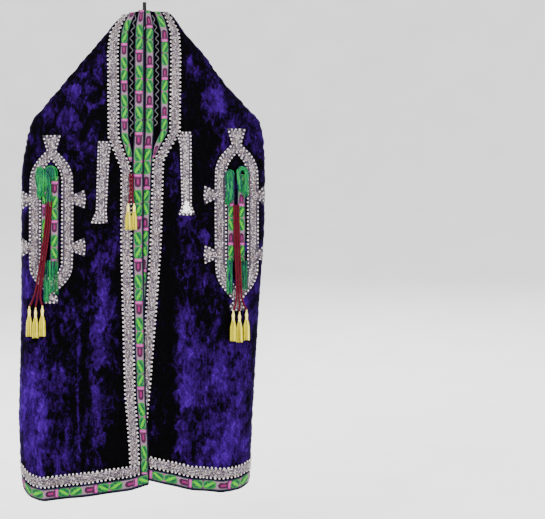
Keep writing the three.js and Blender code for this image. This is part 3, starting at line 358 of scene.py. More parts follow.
class Heap:
    """Many small meshes gathered into one piece. Points are in millimetres."""

    def __init__(self):
        self.points, self.faces, self.looks, self.uvs, self.count = [], [], [], [], 0

    def add(self, points, face_sets, look=0, uv=None):
        """Adds a mesh; each set of faces is an array of triangles or of quads."""
        points = np.asarray(points, float).reshape(-1, 3)
        self.points.append(points)
        for faces in face_sets:
            self.faces.extend((np.asarray(faces) + self.count).tolist())
            self.looks.extend([look] * len(faces))
        lines = np.zeros((len(points), 2))
        if uv is not None:
            uv = np.asarray(uv, float).reshape(-1, 2)
            lines[:len(uv)] = uv
        self.uvs.append(lines)
        self.count += len(points)

    def copies(self, shape, centres, frames, sizes, looks):
        """Copies of one shape, each turned by a frame of three unit vectors and sized along them."""
        points, faces = shape
        placed = centres[:, None] + np.einsum("vk,nk,nkx->nvx", points, sizes, right_handed(frames))
        starts = self.count + np.arange(len(centres))[:, None, None] * len(points)
        self.points.append(placed.reshape(-1, 3))
        self.faces.extend((faces[None] + starts).reshape(-1, 3).tolist())
        self.looks.extend(np.repeat(looks, len(faces)).tolist())
        self.uvs.append(np.zeros((len(centres) * len(points), 2)))
        self.count += len(centres) * len(points)

    def build(self, name, materials, slot, node=None):
        """The piece, standing for a solid where one is named; the slot is not used."""
        piece = mesh_object(name, np.concatenate(self.points), self.faces, materials, self.looks,
                            np.concatenate(self.uvs))
        if node:
            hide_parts(node)
        return piece


def mesh_object(name, points, faces, materials, looks=None, uv=None):
    """A smooth piece on the root body, from points in millimetres."""
    mesh = bpy.data.meshes.new(name)
    mesh.from_pydata((np.asarray(points) * MM).tolist(), [], faces)
    for material in materials:
        mesh.materials.append(material)
    mesh.polygons.foreach_set("use_smooth", np.ones(len(mesh.polygons), bool))
    if looks is not None:
        mesh.polygons.foreach_set("material_index", np.asarray(looks, np.int32))
    if uv is not None:
        layer = mesh.uv_layers.new(name="thread")
        corner = np.empty(len(mesh.loops), np.int32)
        mesh.loops.foreach_get("vertex_index", corner)
        layer.data.foreach_set("uv", (uv * MM)[corner].astype(np.float32).ravel())
    mesh.validate()
    mesh.update()
    piece = add_object(name, mesh)
    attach(piece, "root")
    return piece


def add_object(name, data, place=(0, 0, 0), turn=(0, 0, 0)):
    thing = bpy.data.objects.new(name, data)
    thing.location, thing.rotation_euler = place, turn
    bpy.context.scene.collection.objects.link(thing)
    return thing


def shell(outer, inner, closed=False):
    """Two grids of points with the rims between them: vertices and quads that face out."""
    rows, columns = outer.shape[:2]
    count = rows * columns
    vertices = np.concatenate([outer.reshape(-1, 3), inner.reshape(-1, 3)])

    def rim(line):
        return np.stack([line[1:], line[:-1], line[:-1] + count, line[1:] + count], -1)

    edge = np.arange(columns + 1) % columns if closed else np.arange(columns)
    rims = [rim(edge), rim(edge[::-1] + (rows - 1) * columns)]
    if not closed:
        side = np.arange(rows) * columns
        rims += [rim(side[::-1]), rim(side + columns - 1)]
    faces = np.concatenate([grid_faces(rows, columns, 0, closed),
                            grid_faces(rows, columns, count, closed)[:, ::-1], *rims])
    corners = vertices[faces]
    volume = sum(np.einsum("ij,ij->", corners[:, 0], np.cross(corners[:, k], corners[:, k + 1]))
                 for k in (1, 2))
    return vertices, faces if volume > 0 else faces[:, ::-1]


# ---------- materials ----------
class Look:
    """A node material made by short calls."""

    def __init__(self, name, **values):
        self.material = bpy.data.materials.new(name)
        self.material.use_nodes = True
        self.tree = self.material.node_tree
        self.shader = self.tree.nodes["Principled BSDF"]
        for socket, value in values.items():
            self.shader.inputs[socket.replace("_", " ")].default_value = value

    def node(self, kind, inputs=None, **settings):
        """A node whose inputs are set to values or linked to other nodes' outputs."""
        node = self.tree.nodes.new(kind)
        for key, value in settings.items():
            setattr(node, key, value)
        for key, value in (inputs or {}).items():
            self.put(value, node.inputs[key])
        return node

    def put(self, value, socket):
        if isinstance(value, bpy.types.NodeSocket):
            self.tree.links.new(value, socket)
        else:
            socket.default_value = value

    def place(self, scale, kind="Object"):
        """Coordinates stretched by a scale along each axis."""
        source = self.node("ShaderNodeTexCoord").outputs[kind]
        return self.node("ShaderNodeMapping", {"Vector": source, "Scale": scale}).outputs["Vector"]

    def noise(self, vector, scale, detail=3.0, rough=0.55, distortion=0.0):
        inputs = {"Vector": vector, "Scale": scale, "Detail": detail, "Roughness": rough,
                  "Distortion": distortion}
        return self.node("ShaderNodeTexNoise", inputs).outputs["Fac"]

    def facets(self, vector, scale, bend=0.5):
        """A shade for each cell of a crumpled net, whose cells are bent by a share of their size."""
        wander = self.node("ShaderNodeTexNoise", {"Vector": vector, "Scale": scale * 1.4, "Detail": 3.0})
        bent = self.node("ShaderNodeVectorMath", {0: wander.outputs["Color"], 1: (2 * bend / scale,) * 3},
                         operation="MULTIPLY")
        moved = self.node("ShaderNodeVectorMath", {0: vector, 1: bent.outputs["Vector"]}, operation="ADD")
        cells = {"Vector": moved.outputs["Vector"], "Scale": scale}
        return self.node("ShaderNodeTexVoronoi", cells).outputs["Color"]

    def wave(self, vector, scale, direction, distortion):
        inputs = {"Vector": vector, "Scale": scale, "Distortion": distortion}
        return self.node("ShaderNodeTexWave", inputs, bands_direction=direction).outputs["Fac"]

    def sum(self, *values):
        """The sum of values, or of pairs of a value and its weight."""
        total = None
        for value in values:
            if isinstance(value, tuple):
                value = self.math(*value, "MULTIPLY")
            total = value if total is None else self.math(total, value, "ADD")
        return total

    def math(self, a, b, operation):
        return self.node("ShaderNodeMath", {0: a, 1: b}, operation=operation).outputs[0]

    def ramp(self, factor, *stops):
        """A colour ramp from stops of a place and a colour."""
        node = self.node("ShaderNodeValToRGB", {"Fac": factor})
        elements = node.color_ramp.elements
        while len(elements) < len(stops):
            elements.new(0.5)
        for element, (place, colour) in zip(elements, stops):
            element.position, element.color = place, (*colour, 1)
        return node.outputs["Color"]

    def level(self, factor, low, high, to_low=0.0, to_high=1.0):
        """A value stretched from one range to another."""
        inputs = {"Value": factor, "From Min": low, "From Max": high, "To Min": to_low, "To Max": to_high}
        return self.node("ShaderNodeMapRange", inputs).outputs["Result"]

    def attribute(self, name):
        return self.node("ShaderNodeAttribute", attribute_name=name).outputs["Fac"]

    def bump(self, *layers):
        """Stacked bumps, each a height, a strength and a depth in metres."""
        normal = None
        for height, strength, depth in layers:
            inputs = {"Height": height, "Strength": strength, "Distance": depth}
            if normal is not None:
                inputs["Normal"] = normal
            normal = self.node("ShaderNodeBump", inputs).outputs["Normal"]
        self.tree.links.new(normal, self.shader.inputs["Normal"])

    def set(self, **links):
        """Links outputs to the shader's inputs, or sets their values."""
        for socket, value in links.items():
            self.put(value, self.shader.inputs[socket.replace("_", " ")])


# From the darkest velvet to the brightest, as the pile's painted light and shade and its crushed mottling
# rise: place and colour.
VELVET_STOPS = [(0.0, (0.0002, 0.0001, 0.0003)), (0.12, (0.0012, 0.0, 0.004)), (0.27, (0.0055, 0.0, 0.023)),
                (0.52, (0.0135, 0.0, 0.060)), (0.78, (0.028, 0.0, 0.125)), (1.0, (0.044, 0.0, 0.195))]


def velvet(name):
    """Crushed velvet: near-black pile with crisp patches where it lies the other way, brightened and
    darkened by the painted light and shade stored on each piece.
    """
    look = Look(name, Roughness=0.8, Sheen_Weight=0.22, Sheen_Roughness=0.3,
                Sheen_Tint=(0.10, 0.01, 0.45, 1), Specular_IOR_Level=0.03)
    drawn = look.place((1.0, 1.0, 0.54))
    patches = look.noise(drawn, 20, 4, 0.55, 0.9)
    mottle = look.noise(drawn, 78, 4, 0.6, 0.9)
    flecks = look.noise(look.place((1.0, 1.0, 0.8)), 240, 3, 0.6, 0.5)
    threads = look.noise(look.place((1.0, 1.0, 0.2)), 520, 2, 0.5)
    # The pile's painted light and shade stored on the piece, then the crushed mottling of the velvet itself.
    mix = look.sum(look.attribute("painted_pile_light"), (patches, 0.82), (mottle, 0.85), (flecks, 0.64), (threads, 0.10),
                   (look.facets(drawn, 38), 0.26), (look.facets(drawn, 105), 0.20))
    shine = look.level(mix, 1.45, 2.11)
    look.set(Base_Color=look.ramp(shine, *VELVET_STOPS), Roughness=look.level(shine, 0.0, 1.0, 0.9, 0.62))
    tufts = look.noise(look.place((1.0, 1.0, 0.6)), 900, 2, 0.5)
    look.bump((patches, 0.3, 0.005), (mottle, 0.45, 0.002), (tufts, 0.5, 0.0005))
    return look.material


def thread_look(name, lit, shaded, rough=0.5, pitch=0.0011, shine=0.16, metal=0.0, direction="Y"):
    """Cloth of even threads with a soft shine, in the piece's own coordinates along its threads; lines and
    blotches run between a lit colour and a shaded one, painted light and shade.
    """
    look = Look(name, Roughness=rough, Sheen_Weight=0.04, Sheen_Roughness=0.4, Metallic=metal,
                Specular_IOR_Level=shine)
    threads = look.place((1, 1, 1), "UV")
    lines = look.wave(threads, math.pi / 10 / pitch, direction, 0.4)
    blotch = look.noise(threads, 160, 3)
    # Painted light and shade: thread lines and blotches run from the shaded colour to the lit one.
    look.set(Base_Color=look.ramp(look.sum((lines, 0.45), (blotch, 0.6)), (0.25, shaded), (0.75, lit)))
    look.bump((lines, 0.5, 0.0004), (blotch, 0.3, 0.0003))
    return look.material


def bead_look(name, colour, rough, metal, dark=0.75):
    """A glossy bead, cloudy from one to the next."""
    look = Look(name, Roughness=rough, Metallic=metal, Coat_Weight=0.35, Coat_Roughness=0.12)
    cloud = look.noise(look.place((1, 1, 1)), 230, 2)
    look.set(Base_Color=look.ramp(cloud, (0.35, tuple(c * dark for c in colour)), (0.62, colour)))
    look.bump((look.noise(look.place((1, 1, 1)), 700, 2), 0.25, 0.0004))
    return look.material


def steel_look(name):
    """Blackened steel with rubbed places."""
    look = Look(name, Metallic=0.0, Roughness=0.5, Specular_IOR_Level=0.12)
    scuffs = look.noise(look.place((1, 1, 0.2)), 90, 4)
    look.set(Base_Color=look.ramp(scuffs, (0.4, (0.001, 0.001, 0.0012)), (0.75, (0.006, 0.006, 0.007))),
             Roughness=look.level(scuffs, 0.3, 0.8, 0.34, 0.6))
    look.bump((look.noise(look.place((1, 1, 1)), 600, 3), 0.2, 0.0003))
    return look.material


VELVET = velvet("crushed_velvet")
# Threads of the woven ribbons: name, colour in the painted light, colour in the painted shade, roughness.
RIBBON_LOOKS = [thread_look(*row) for row in (
    ("ribbon_ground", (0.215, 0.132, 0.182), (0.10, 0.058, 0.085)),
    ("ribbon_edge", (0.003, 0.003, 0.020), (0.0015, 0.006, 0.016)),
    ("leaf_green", (0.001, 0.18, 0.013), (0.0005, 0.075, 0.012), 0.45),
    ("leaf_lime", (0.068, 0.39, 0.0), (0.018, 0.21, 0.0), 0.45),
    ("leaf_shade", (0.001, 0.055, 0.024), (0.0005, 0.024, 0.018)),
    ("tulip_magenta", (0.036, 0.0, 0.024), (0.015, 0.0, 0.010), 0.45),
    ("tulip_pink", (0.31, 0.009, 0.18), (0.17, 0.004, 0.10), 0.4),
    ("tulip_rose", (0.40, 0.10, 0.30), (0.22, 0.04, 0.17), 0.45),
    ("tulip_berry", (0.19, 0.0, 0.090), (0.10, 0.0, 0.048), 0.4))]
(LOOK_GROUND, LOOK_NAVY, LOOK_GREEN, LOOK_LIME, LOOK_TEAL, LOOK_MAGENTA, LOOK_PINK, LOOK_ROSE,
 LOOK_BERRY) = range(len(RIBBON_LOOKS))

# The bead braid's thread, then its beads and lumps: name, colour, roughness, metal, darkest share.
BEAD_LOOKS = [
    thread_look("lace_thread", (0.035, 0.026, 0.040), (0.010, 0.006, 0.016), 0.5, 0.0016, 0.2, 0.2, "X"),
    bead_look("bead_pearl", (0.56, 0.50, 0.50), 0.24, 0.0, 0.8),
    bead_look("bead_lilac", (0.165, 0.122, 0.158), 0.34, 0.2),
    bead_look("bead_sand", (0.195, 0.145, 0.118), 0.34, 0.3),
    bead_look("bead_smoke", (0.05, 0.030, 0.042), 0.4, 0.1),
    bead_look("bead_silver", (0.31, 0.27, 0.28), 0.28, 0.4),
    # Plain white, for the lumps of a painted highlight.
    bead_look("bead_painted_highlight", (0.96, 0.94, 0.93), 0.2, 0.0, 0.9),
]
(LOOK_LACE, LOOK_PEARL, LOOK_LILAC, LOOK_SAND, LOOK_SMOKE, LOOK_SILVER,
 LOOK_PAINTED_HIGHLIGHT) = range(len(BEAD_LOOKS))
SILVER = BEAD_LOOKS[LOOK_SILVER]
STEEL = steel_look("black_steel")


# ---------- camera, light and floor ----------
# In metres: how wide the frame is where the cloak hangs, and how far its middle is to the right.
FRAME_WIDTH, FRAME_ASIDE = 1.6895, 0.3968
CAMERA_DISTANCE, CAMERA_HEIGHT = 3.62, -0.797
SENSOR = 36.0
# Soft round lights: name, place, what it points at, size and power.
MIDDLE = (0, 0, -0.75)
LIGHTS = [("key", (-1.9, -3.0, 1.2), MIDDLE, 1.6, 190), ("fill", (2.6, -2.8, 0.2), MIDDLE, 2.2, 120),
          ("back_key", (1.6, 3.4, 1.2), MIDDLE, 2.0, 190), ("back_fill", (-2.4, 2.8, 0.0), MIDDLE, 2.2, 120),
          ("overhead", (0, 0, 3.4), (0, 0.001, 0), 5.0, 160)]
# The floor is flat to FLOOR_FLAT from the middle and then curves up into a wall behind the cloak.
FLOOR, FLOOR_FLAT, SWEEP, SWEEP_RISE, WALL_AT, WALL_TOP = -1.78, 1.4, 5.6, 0.7, 7.0, 3.6
FLOOR_SIDES, SWEEP_STEPS = 96, 40


def make_camera():
    """A camera level with the cloak's middle, shifted so that the cloak is left of the frame's."""
    data = bpy.data.cameras.new("camera")
    data.sensor_width = SENSOR
    data.lens = SENSOR * CAMERA_DISTANCE / FRAME_WIDTH
    data.shift_x = FRAME_ASIDE / FRAME_WIDTH
    place = (0, -CAMERA_DISTANCE, CAMERA_HEIGHT)
    bpy.context.scene.camera = add_object("camera", data, place, (QUARTER, 0, 0))


def area_light(name, place, aim, size, power):
    """A round soft light turned towards a place."""
    data = bpy.data.lights.new(name, "AREA")
    data.shape, data.size, data.energy = "DISK", size, power
    x, y, z = np.array(place) - np.array(aim)
    add_object(name, data, place, (math.atan2(math.hypot(x, y), z), 0, math.atan2(x, -y)))


def make_floor():
    """A pale round floor that curves up into a wall."""
    profile = [(0.5, FLOOR), (1.0, FLOOR), (FLOOR_FLAT, FLOOR)]
    profile += [(FLOOR_FLAT + SWEEP * math.sin(t), FLOOR + SWEEP * (1 - math.cos(t)) * SWEEP_RISE)
                for t in np.linspace(0, QUARTER, SWEEP_STEPS)[1:]]
    profile.append((WALL_AT, WALL_TOP))
    spin = turns(FLOOR_SIDES)
    points = [(0, 0, FLOOR)] + [(r * math.cos(t), r * math.sin(t), z) for r, z in profile for t in spin]
    faces = [(0, 1 + (k + 1) % FLOOR_SIDES, 1 + k) for k in range(FLOOR_SIDES)]
    faces += grid_faces(len(profile), FLOOR_SIDES, 1, True).tolist()
    mesh = bpy.data.meshes.new("floor")
    mesh.from_pydata(points, [], faces)
    mesh.polygons.foreach_set("use_smooth", np.ones(len(mesh.polygons), bool))
    look = Look("floor", Roughness=0.95)
    cloud = look.noise(look.place((1, 1, 1)), 3, 2)
    look.set(Base_Color=look.ramp(cloud, (0.3, (0.86, 0.86, 0.86)), (0.7, (0.90, 0.90, 0.90))))
    mesh.materials.append(look.material)
    add_object("floor", mesh)


def make_studio():
    """White surroundings, soft lights and the floor."""
    world = bpy.data.worlds.new("studio")
    world.use_nodes = True
    world.node_tree.nodes["Background"].inputs["Color"].default_value = (1, 1, 1, 1)
    world.node_tree.nodes["Background"].inputs["Strength"].default_value = 1.0
    bpy.context.scene.world = world
    for light in LIGHTS:
        area_light(*light)
    make_floor()


make_camera()
make_studio()


# ---------- velvet ----------
# Painted light and shade on the pile, patches where the folds catch the light or turn from it: x, z, half
# width, half height, light (below 0 for painted shade).
PAINTED_PILE_LIGHT = {
    FRONT: [
        (-153, -216, 26, 34, 0.20), (-184, -256, 34, 34, 0.22), (-215, -294, 34, 40, 0.20),
        (-225, -365, 30, 34, 0.18), (-308, -365, 34, 28, 0.12), (-200, -427, 30, 60, 0.10),
        (141, -205, 24, 40, 0.20), (172, -250, 20, 34, 0.16), (205, -196, 26, 26, 0.14),
        (208, -275, 24, 44, 0.22), (224, -335, 20, 44, 0.20), (262, -415, 26, 60, 0.16),
        (196, -330, 60, 80, 0.08), (327, -356, 34, 56, 0.22), (358, -430, 22, 80, 0.14),
        (-184, -458, 14, 100, 0.08), (94, -551, 18, 80, 0.12), (110, -712, 36, 64, 0.16),
        (157, -737, 34, 46, 0.14), (-100, -712, 24, 80, 0.14), (-147, -768, 18, 50, 0.12),
        (-364, -690, 18, 130, 0.12), (-355, -858, 34, 66, 0.24), (-362, -935, 28, 66, 0.22),
        (-271, -957, 24, 50, 0.10), (-116, -880, 30, 95, 0.20), (-132, -982, 36, 86, 0.18),
        (-138, -1090, 30, 80, 0.12), (-138, -1214, 32, 105, 0.18), (-147, -1323, 32, 70, 0.20),
        (-163, -1422, 34, 50, 0.14), (-339, -1168, 50, 130, 0.26), (-333, -1261, 50, 105, 0.24),
        (-349, -1360, 44, 110, 0.22), (-318, -1437, 34, 46, 0.20), (-256, -1152, 24, 80, 0.10),
        (-240, -1338, 28, 105, 0.12), (-246, -1422, 34, 46, 0.20), (-86, -1370, 34, 110, -0.20),
        (-56, -1180, 22, 300, -0.14), (-205, -1130, 22, 190, -0.08), (-282, -1330, 22, 120, -0.10),
        (141, -827, 34, 34, 0.14), (110, -982, 22, 80, 0.16), (125, -1044, 34, 56, 0.20),
        (94, -1112, 28, 44, 0.14), (141, -1158, 44, 90, 0.20), (228, -1106, 50, 90, 0.18),
        (244, -1214, 50, 110, 0.16), (290, -1300, 48, 110, 0.28), (222, -1395, 64, 60, 0.29),
        (112, -1323, 28, 80, 0.18), (132, -1245, 38, 66, 0.20), (311, -1013, 34, 130, 0.18),
        (342, -858, 22, 105, 0.16), (218, -873, 34, 34, 0.12), (287, -926, 34, 44, 0.16),
        (60, -1100, 30, 420, -0.22), (70, -760, 26, 200, -0.12), (-60, -540, 40, 180, -0.06),
        (180, -560, 40, 160, -0.10), (-150, -620, 50, 90, -0.08), (100, -330, 40, 160, -0.08),
        (0, -240, 78, 270, -0.30),
    ],
    BACK: [
        (82, -90, 14, 24, 0.14), (184, -198, 48, 48, 0.17), (206, -300, 56, 66, 0.18),
        (184, -408, 66, 86, 0.23), (231, -493, 24, 110, 0.24), (169, -515, 44, 105, 0.20),
        (231, -663, 26, 130, 0.30), (175, -673, 38, 105, 0.22), (107, -307, 22, 48, 0.22),
        (107, -393, 18, 44, 0.14), (54, -493, 22, 90, 0.26), (60, -570, 17, 50, 0.22),
        (62, -710, 22, 100, 0.28), (-11, -455, 9, 130, 0.24), (-26, -642, 22, 125, 0.30),
        (-34, -316, 22, 56, 0.20), (-73, -378, 17, 48, 0.20), (-76, -493, 26, 90, 0.28),
        (-181, -285, 34, 50, 0.22), (-212, -316, 44, 50, 0.20), (-172, -425, 60, 86, 0.20),
        (-212, -493, 44, 80, 0.22), (-135, -595, 56, 80, 0.20), (-203, -632, 34, 105, 0.22),
        (-110, -750, 50, 66, 0.22), (-212, -725, 38, 80, 0.22), (315, -454, 22, 34, 0.10),
        (215, -823, 34, 66, 0.26), (200, -892, 34, 56, 0.20), (60, -855, 20, 90, 0.24),
        (51, -955, 17, 66, 0.18), (-135, -823, 72, 66, 0.26), (-119, -930, 66, 66, 0.26),
        (-104, -1031, 66, 70, 0.30), (-42, -1133, 60, 66, 0.18), (-104, -1164, 34, 66, 0.22),
        (215, -1125, 28, 80, 0.24), (200, -1218, 38, 86, 0.34), (200, -1335, 44, 105, 0.28),
        (184, -1420, 38, 44, 0.22), (138, -1212, 34, 66, 0.14), (-104, -1258, 34, 66, 0.26),
        (-104, -1350, 38, 86, 0.32), (-119, -1420, 38, 44, 0.24), (277, -1025, 34, 66, 0.12),
        (293, -1164, 28, 56, 0.12), (-265, -930, 34, 44, 0.12), (-172, -1358, 34, 50, 0.08),
        (0, -180, 70, 160, -0.14), (340, -900, 40, 500, -0.16), (-320, -1000, 70, 480, -0.16),
        (20, -700, 14, 420, -0.10), (-240, -1250, 60, 240, -0.10), (50, -1330, 70, 120, -0.10),
    ],
}


# Painted highlights on sharp creases where the pile catches the light: x at the top and foot, top, foot,
# light.
PAINTED_CREASE_HIGHLIGHTS = {FRONT: [(-200, -196, -960, -1450, 0.30), (62, 62, -640, -880, 0.14)],
              BACK: [(20, -16, -420, -900, 0.20), (-52, -30, -330, -760, 0.16)]}
LINE_HALF, LINE_FADE = 4.5, 60
# How fast a patch of painted light fades, and the least and most painted light.
PAINTED_LIGHT_FALL, PAINTED_LIGHT_LEAST, PAINTED_LIGHT_MOST = 0.9, -0.3, 0.38
# Painted shade over all of the back, painted light over all of the sleeves.
BACK_PAINTED_SHADE, SLEEVE_PAINTED_LIGHT = -0.05, 0.06  # what is added to all of a piece


def painted_pile_light_at(side, x, z):
    """The painted light and shade of the pile at places on one side: how far it is taken to face the light.
    """
    total = np.zeros(np.broadcast(x, z).shape)
    ragged_x = x + 14 * lattice_noise(x, z, 38, 5) + 7 * lattice_noise(x, z, 14, 6)
    ragged_z = z + 26 * lattice_noise(x, z, 44, 7)
    for patch_x, patch_z, half, tall, light in PAINTED_PILE_LIGHT[side]:
        off = ((ragged_x - patch_x) / half) ** 2 + ((ragged_z - patch_z) / tall) ** 2
        total += light * np.exp(-off * PAINTED_LIGHT_FALL)
    for x_top, x_foot, top, foot, light in PAINTED_CREASE_HIGHLIGHTS[side]:
        line_x = x_top + (x_foot - x_top) * (z - top) / (foot - top) + 2 * np.sin(z / 90)
        fade = smoothstep(top - z, 0, LINE_FADE) * smoothstep(z - foot, 0, LINE_FADE)
        total += light * fade * np.exp(-((x - line_x) / LINE_HALF) ** 2)
    return np.clip(total, PAINTED_LIGHT_LEAST, PAINTED_LIGHT_MOST)


def velvet_piece(name, node, side, outer, inner, painted_pile_light, closed=False):
    """A velvet shell between two grids of points, with its pile's painted light and shade stored for the
    material.
    """
    points, faces = shell(outer, inner, closed)
    piece = mesh_object(name, points, faces.tolist(), [VELVET])
    values = (painted_pile_light_at(side, points[:, 0], points[:, 2]) + painted_pile_light).astype(np.float32)
    piece.data.attributes.new("painted_pile_light", "FLOAT", "POINT").data.foreach_set("value", values)
    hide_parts(node)
    return piece


def panel_shares(cloth, z, name=EDGE):
    """Between which shares of the width a panel lies, up to a column of its edge's table."""
    if cloth is REAR:
        return 0.0, 1.0
    edge = share_of(cloth, cloth.angle_of(column(cloth.edges, name, z), z), z)
    return (0.0, edge) if cloth is LEFT else (edge, 1.0)


def share_of(cloth, angle, z):
    """The share of the width at which an angle is met, found by halving."""
    low, high = np.zeros(np.shape(angle)), np.ones(np.shape(angle))
    for _ in range(22):
        middle = (low + high) / 2
        below = cloth.spread(middle, z) < angle
        low, high = np.where(below, middle, low), np.where(below, high, middle)
    return (low + high) / 2


def panel_grid(cloth, columns, rows):
    """Angles and heights of a panel's grid, from the neckline down to the hem."""
    def angles(z):
        low, high = panel_shares(cloth, z)
        return cloth.spread(low + (high - low) * np.linspace(0, 1, columns), z)

    top_x, foot_x = (cloth.raw(angles(np.full(columns, z)), z)[:, 0] for z in (NECK_PROBE, HEM_PROBE))
    top, foot = neck_height(cloth.side, top_x), hem_height(cloth, foot_x)
    z = top + (foot - top) * np.linspace(0, 1, rows)[:, None]
    return np.array([angles(row) for row in z]), z


NECK_PROBE, HEM_PROBE, HEM_SHARE_PROBE = -50.0, -1500.0, -1450.0  # where the ends' places are looked up
SEAM_GAP = 0.2  # from the plane in which the front and the back are joined


def velvet_panel(cloth, node, columns, rows, seams, painted_pile_light=0.0):
    """A rumpled panel of the cloak; its columns at the side seams meet the other side's."""
    angles, z = panel_grid(cloth, columns, rows)
    rumple = 0.7 * lattice_noise(angles * 250, z, 24, 3) + 0.4 * lattice_noise(angles * 250, z, 9, 4)
    points, normals = cloth.at(angles, z)
    points = points + normals * (np.minimum(rumple, 0.5) - 0.25)[..., None]
    points[:, seams, 1] = SEAM_GAP * cloth.side
    return velvet_piece(f"velvet_{node}", node, cloth.side, points, points - normals * WALL, painted_pile_light)


velvet_left = velvet_panel(LEFT, "front_left", 74, 240, [0])
velvet_right = velvet_panel(RIGHT, "front_right", 74, 240, [-1])
velvet_back = velvet_panel(REAR, "back", 136, 236, [0, -1], BACK_PAINTED_SHADE)


# ---------- laying things on the cloth ----------
LIE, TRIM, SEAM = 0.6, 1.2, 0.3
TOP = LIE + TRIM  # height of a trim's face over the velvet


class Band:
    """A strip laid on the cloth: w runs across it and l along it, in millimetres."""

    def __init__(self, cloth, length, where):
        self.cloth, self.length, self.where = cloth, length, where

    def at(self, w, l, lift=0.0):
        w, l, lift = np.broadcast_arrays(np.asarray(w, float), np.asarray(l, float), lift)
        return self.cloth.at(*self.where(w, l), lift)

    def frames(self, w, l, lift=0.0):
        """Centres, with the directions across, along and out, and how wide the strip is there."""
        w, l = np.broadcast_arrays(np.asarray(w, float), np.asarray(l, float))
        centre, out = self.at(w, l, lift)
        across = self.at(w + 1, l)[0] - self.at(w - 1, l)[0]
        along = self.at(w, l + 1)[0] - self.at(w, l - 1)[0]
        width = np.linalg.norm(across, axis=-1) / 2
        return centre, np.stack([unit(across), unit(along), out], -2), width


class Plane(Band):
    """Places given straight as x and z, as seen from in front of the cloth."""

    def __init__(self, cloth):
        super().__init__(cloth, 0, self.as_seen)

    def as_seen(self, x, z):
        return self.cloth.angle_of(x, z), z


def edge_top(cloth, near, far):
    """The height at which a strip along the front edge starts, just under the neckline."""
    x = (column(cloth.edges, near, -30) + column(cloth.edges, far, -30)) / 2
    return float(neck_height(FRONT, x)) - NECK_INSET


def edge_band(cloth, near, far, width, foot, edges=None):
    """A strip between two columns of a front edge's table, from the neckline down to a height."""
    edges = cloth.edges if edges is None else edges
    top = edge_top(cloth, near, far)

    def where(w, l):
        z = top - l
        a, b = column(edges, near, z), column(edges, far, z)
        return cloth.angle_of((a + b) / 2 + (b - a) * w / width, z), z
    return Band(cloth, top - foot, where)


def level_band(cloth, height_at, start, end, first, count):
    """A strip round the cloth between two shares of its width, at a height that changes with x."""
    shares = np.linspace(start, end, count)
    z = np.full(count, first)
    for _ in range(3):
        z = height_at(cloth.raw(cloth.spread(shares, z), z)[:, 0])
    points = cloth.raw(cloth.spread(shares, z), z)
    run = distances(points)

    def where(w, l):
        height = height_at(np.interp(l, run, points[:, 0])) + w
        return cloth.spread(np.interp(l, run, shares), height), height
    return Band(cloth, run[-1], where)


def hem_band(cloth, low, high, name=EDGE):
    """A strip between two heights above a hem, up to a column of the front edge's table."""
    def height_at(x):
        return hem_height(cloth, x) + (low + high) / 2
    return level_band(cloth, height_at, *panel_shares(cloth, HEM_SHARE_PROBE, name), -1455.0, 240)


def path_band(cloth, points):
    """A strip whose middle follows points given as x and z; w runs to the left of the way along."""
    line = np.asarray(points, float)
    run = distances(line)
    ways = unit(np.gradient(line, run, axis=0))

    def where(w, l):
        (x, z), (way_x, way_z) = (np.moveaxis(along(each, run, l), -1, 0) for each in (line, ways))
        return cloth.angle_of(x - w * way_z, z + w * way_x), z + w * way_x
    return Band(cloth, run[-1], where)


def strip(heap, band, width, start, end, lift, thick, look, pitch=9.0, wander=0.35):
    """A flat ribbon with thickness along part of a band."""
    l = np.linspace(start, end, max(2, int((end - start) / pitch)))[:, None]
    side = np.linspace(-1, 1, 5)
    w = side * (width / 2) + wander * np.sin(l / 23 + start + side) * np.abs(side)
    points, normals = band.at(w, l, lift + thick)
    vertices, faces = shell(points, points - normals * thick)
    uv = np.stack(np.broadcast_arrays(w, l), -1).reshape(-1, 2)
    heap.add(vertices, [faces], look, np.concatenate([uv, uv]))


PATCH_SLOPE, PATCH_SUNK = 0.8, 0.2


def patch(heap, band, outline, lift, rise, look, lean=0.0):
    """A thin raised figure on a band; its outline is given as places across and along."""
    outline = np.asarray(outline, float)
    middle, count = outline.mean(0), len(outline)
    reach = np.maximum(np.linalg.norm(outline - middle, axis=1), 1e-6)
    inner = outline + (middle - outline) * np.minimum(0.4, PATCH_SLOPE / reach)[:, None]
    places = np.concatenate([outline, inner, (inner + middle) / 2, middle[None]])
    lifts = np.concatenate([np.full(count, lift - PATCH_SUNK), np.full(2 * count + 1, lift + rise)])
    points, normals = band.at(places[:, 0], places[:, 1], lifts)
    k = np.arange(count)
    caps = np.stack([2 * count + k, 2 * count + (k + 1) % count, np.full(count, 3 * count)], -1)
    face_sets = [grid_faces(3, count, 0, True), caps]
    a, b, c = points[caps[0]]
    if np.dot(np.cross(b - a, c - a), normals[-1]) < 0:
        face_sets = [faces[:, ::-1] for faces in face_sets]
    cos, sin = math.cos(lean), math.sin(lean)
    heap.add(points, face_sets, look, places @ [[cos, sin], [-sin, cos]])


def dome(sides, rings):
    """A small half bead of triangles: a ring on the cloth, rings above it and a crown."""
    rise, turn = np.arange(rings)[:, None] / rings * QUARTER, turns(sides)
    grid = np.broadcast_arrays(np.cos(rise) * np.cos(turn), np.cos(rise) * np.sin(turn), np.sin(rise))
    points = np.concatenate([np.stack(grid, -1).reshape(-1, 3), [(0, 0, 1)]])
    quads, k = grid_faces(rings, sides, 0, True), np.arange(sides)
    crown = np.stack([k, (k + 1) % sides, np.full(sides, sides)], -1) + (rings - 1) * sides
    return points, np.concatenate([quads[:, [0, 1, 2]], quads[:, [0, 2, 3]], crown])


BEAD, PEBBLE = dome(10, 3), dome(6, 2)


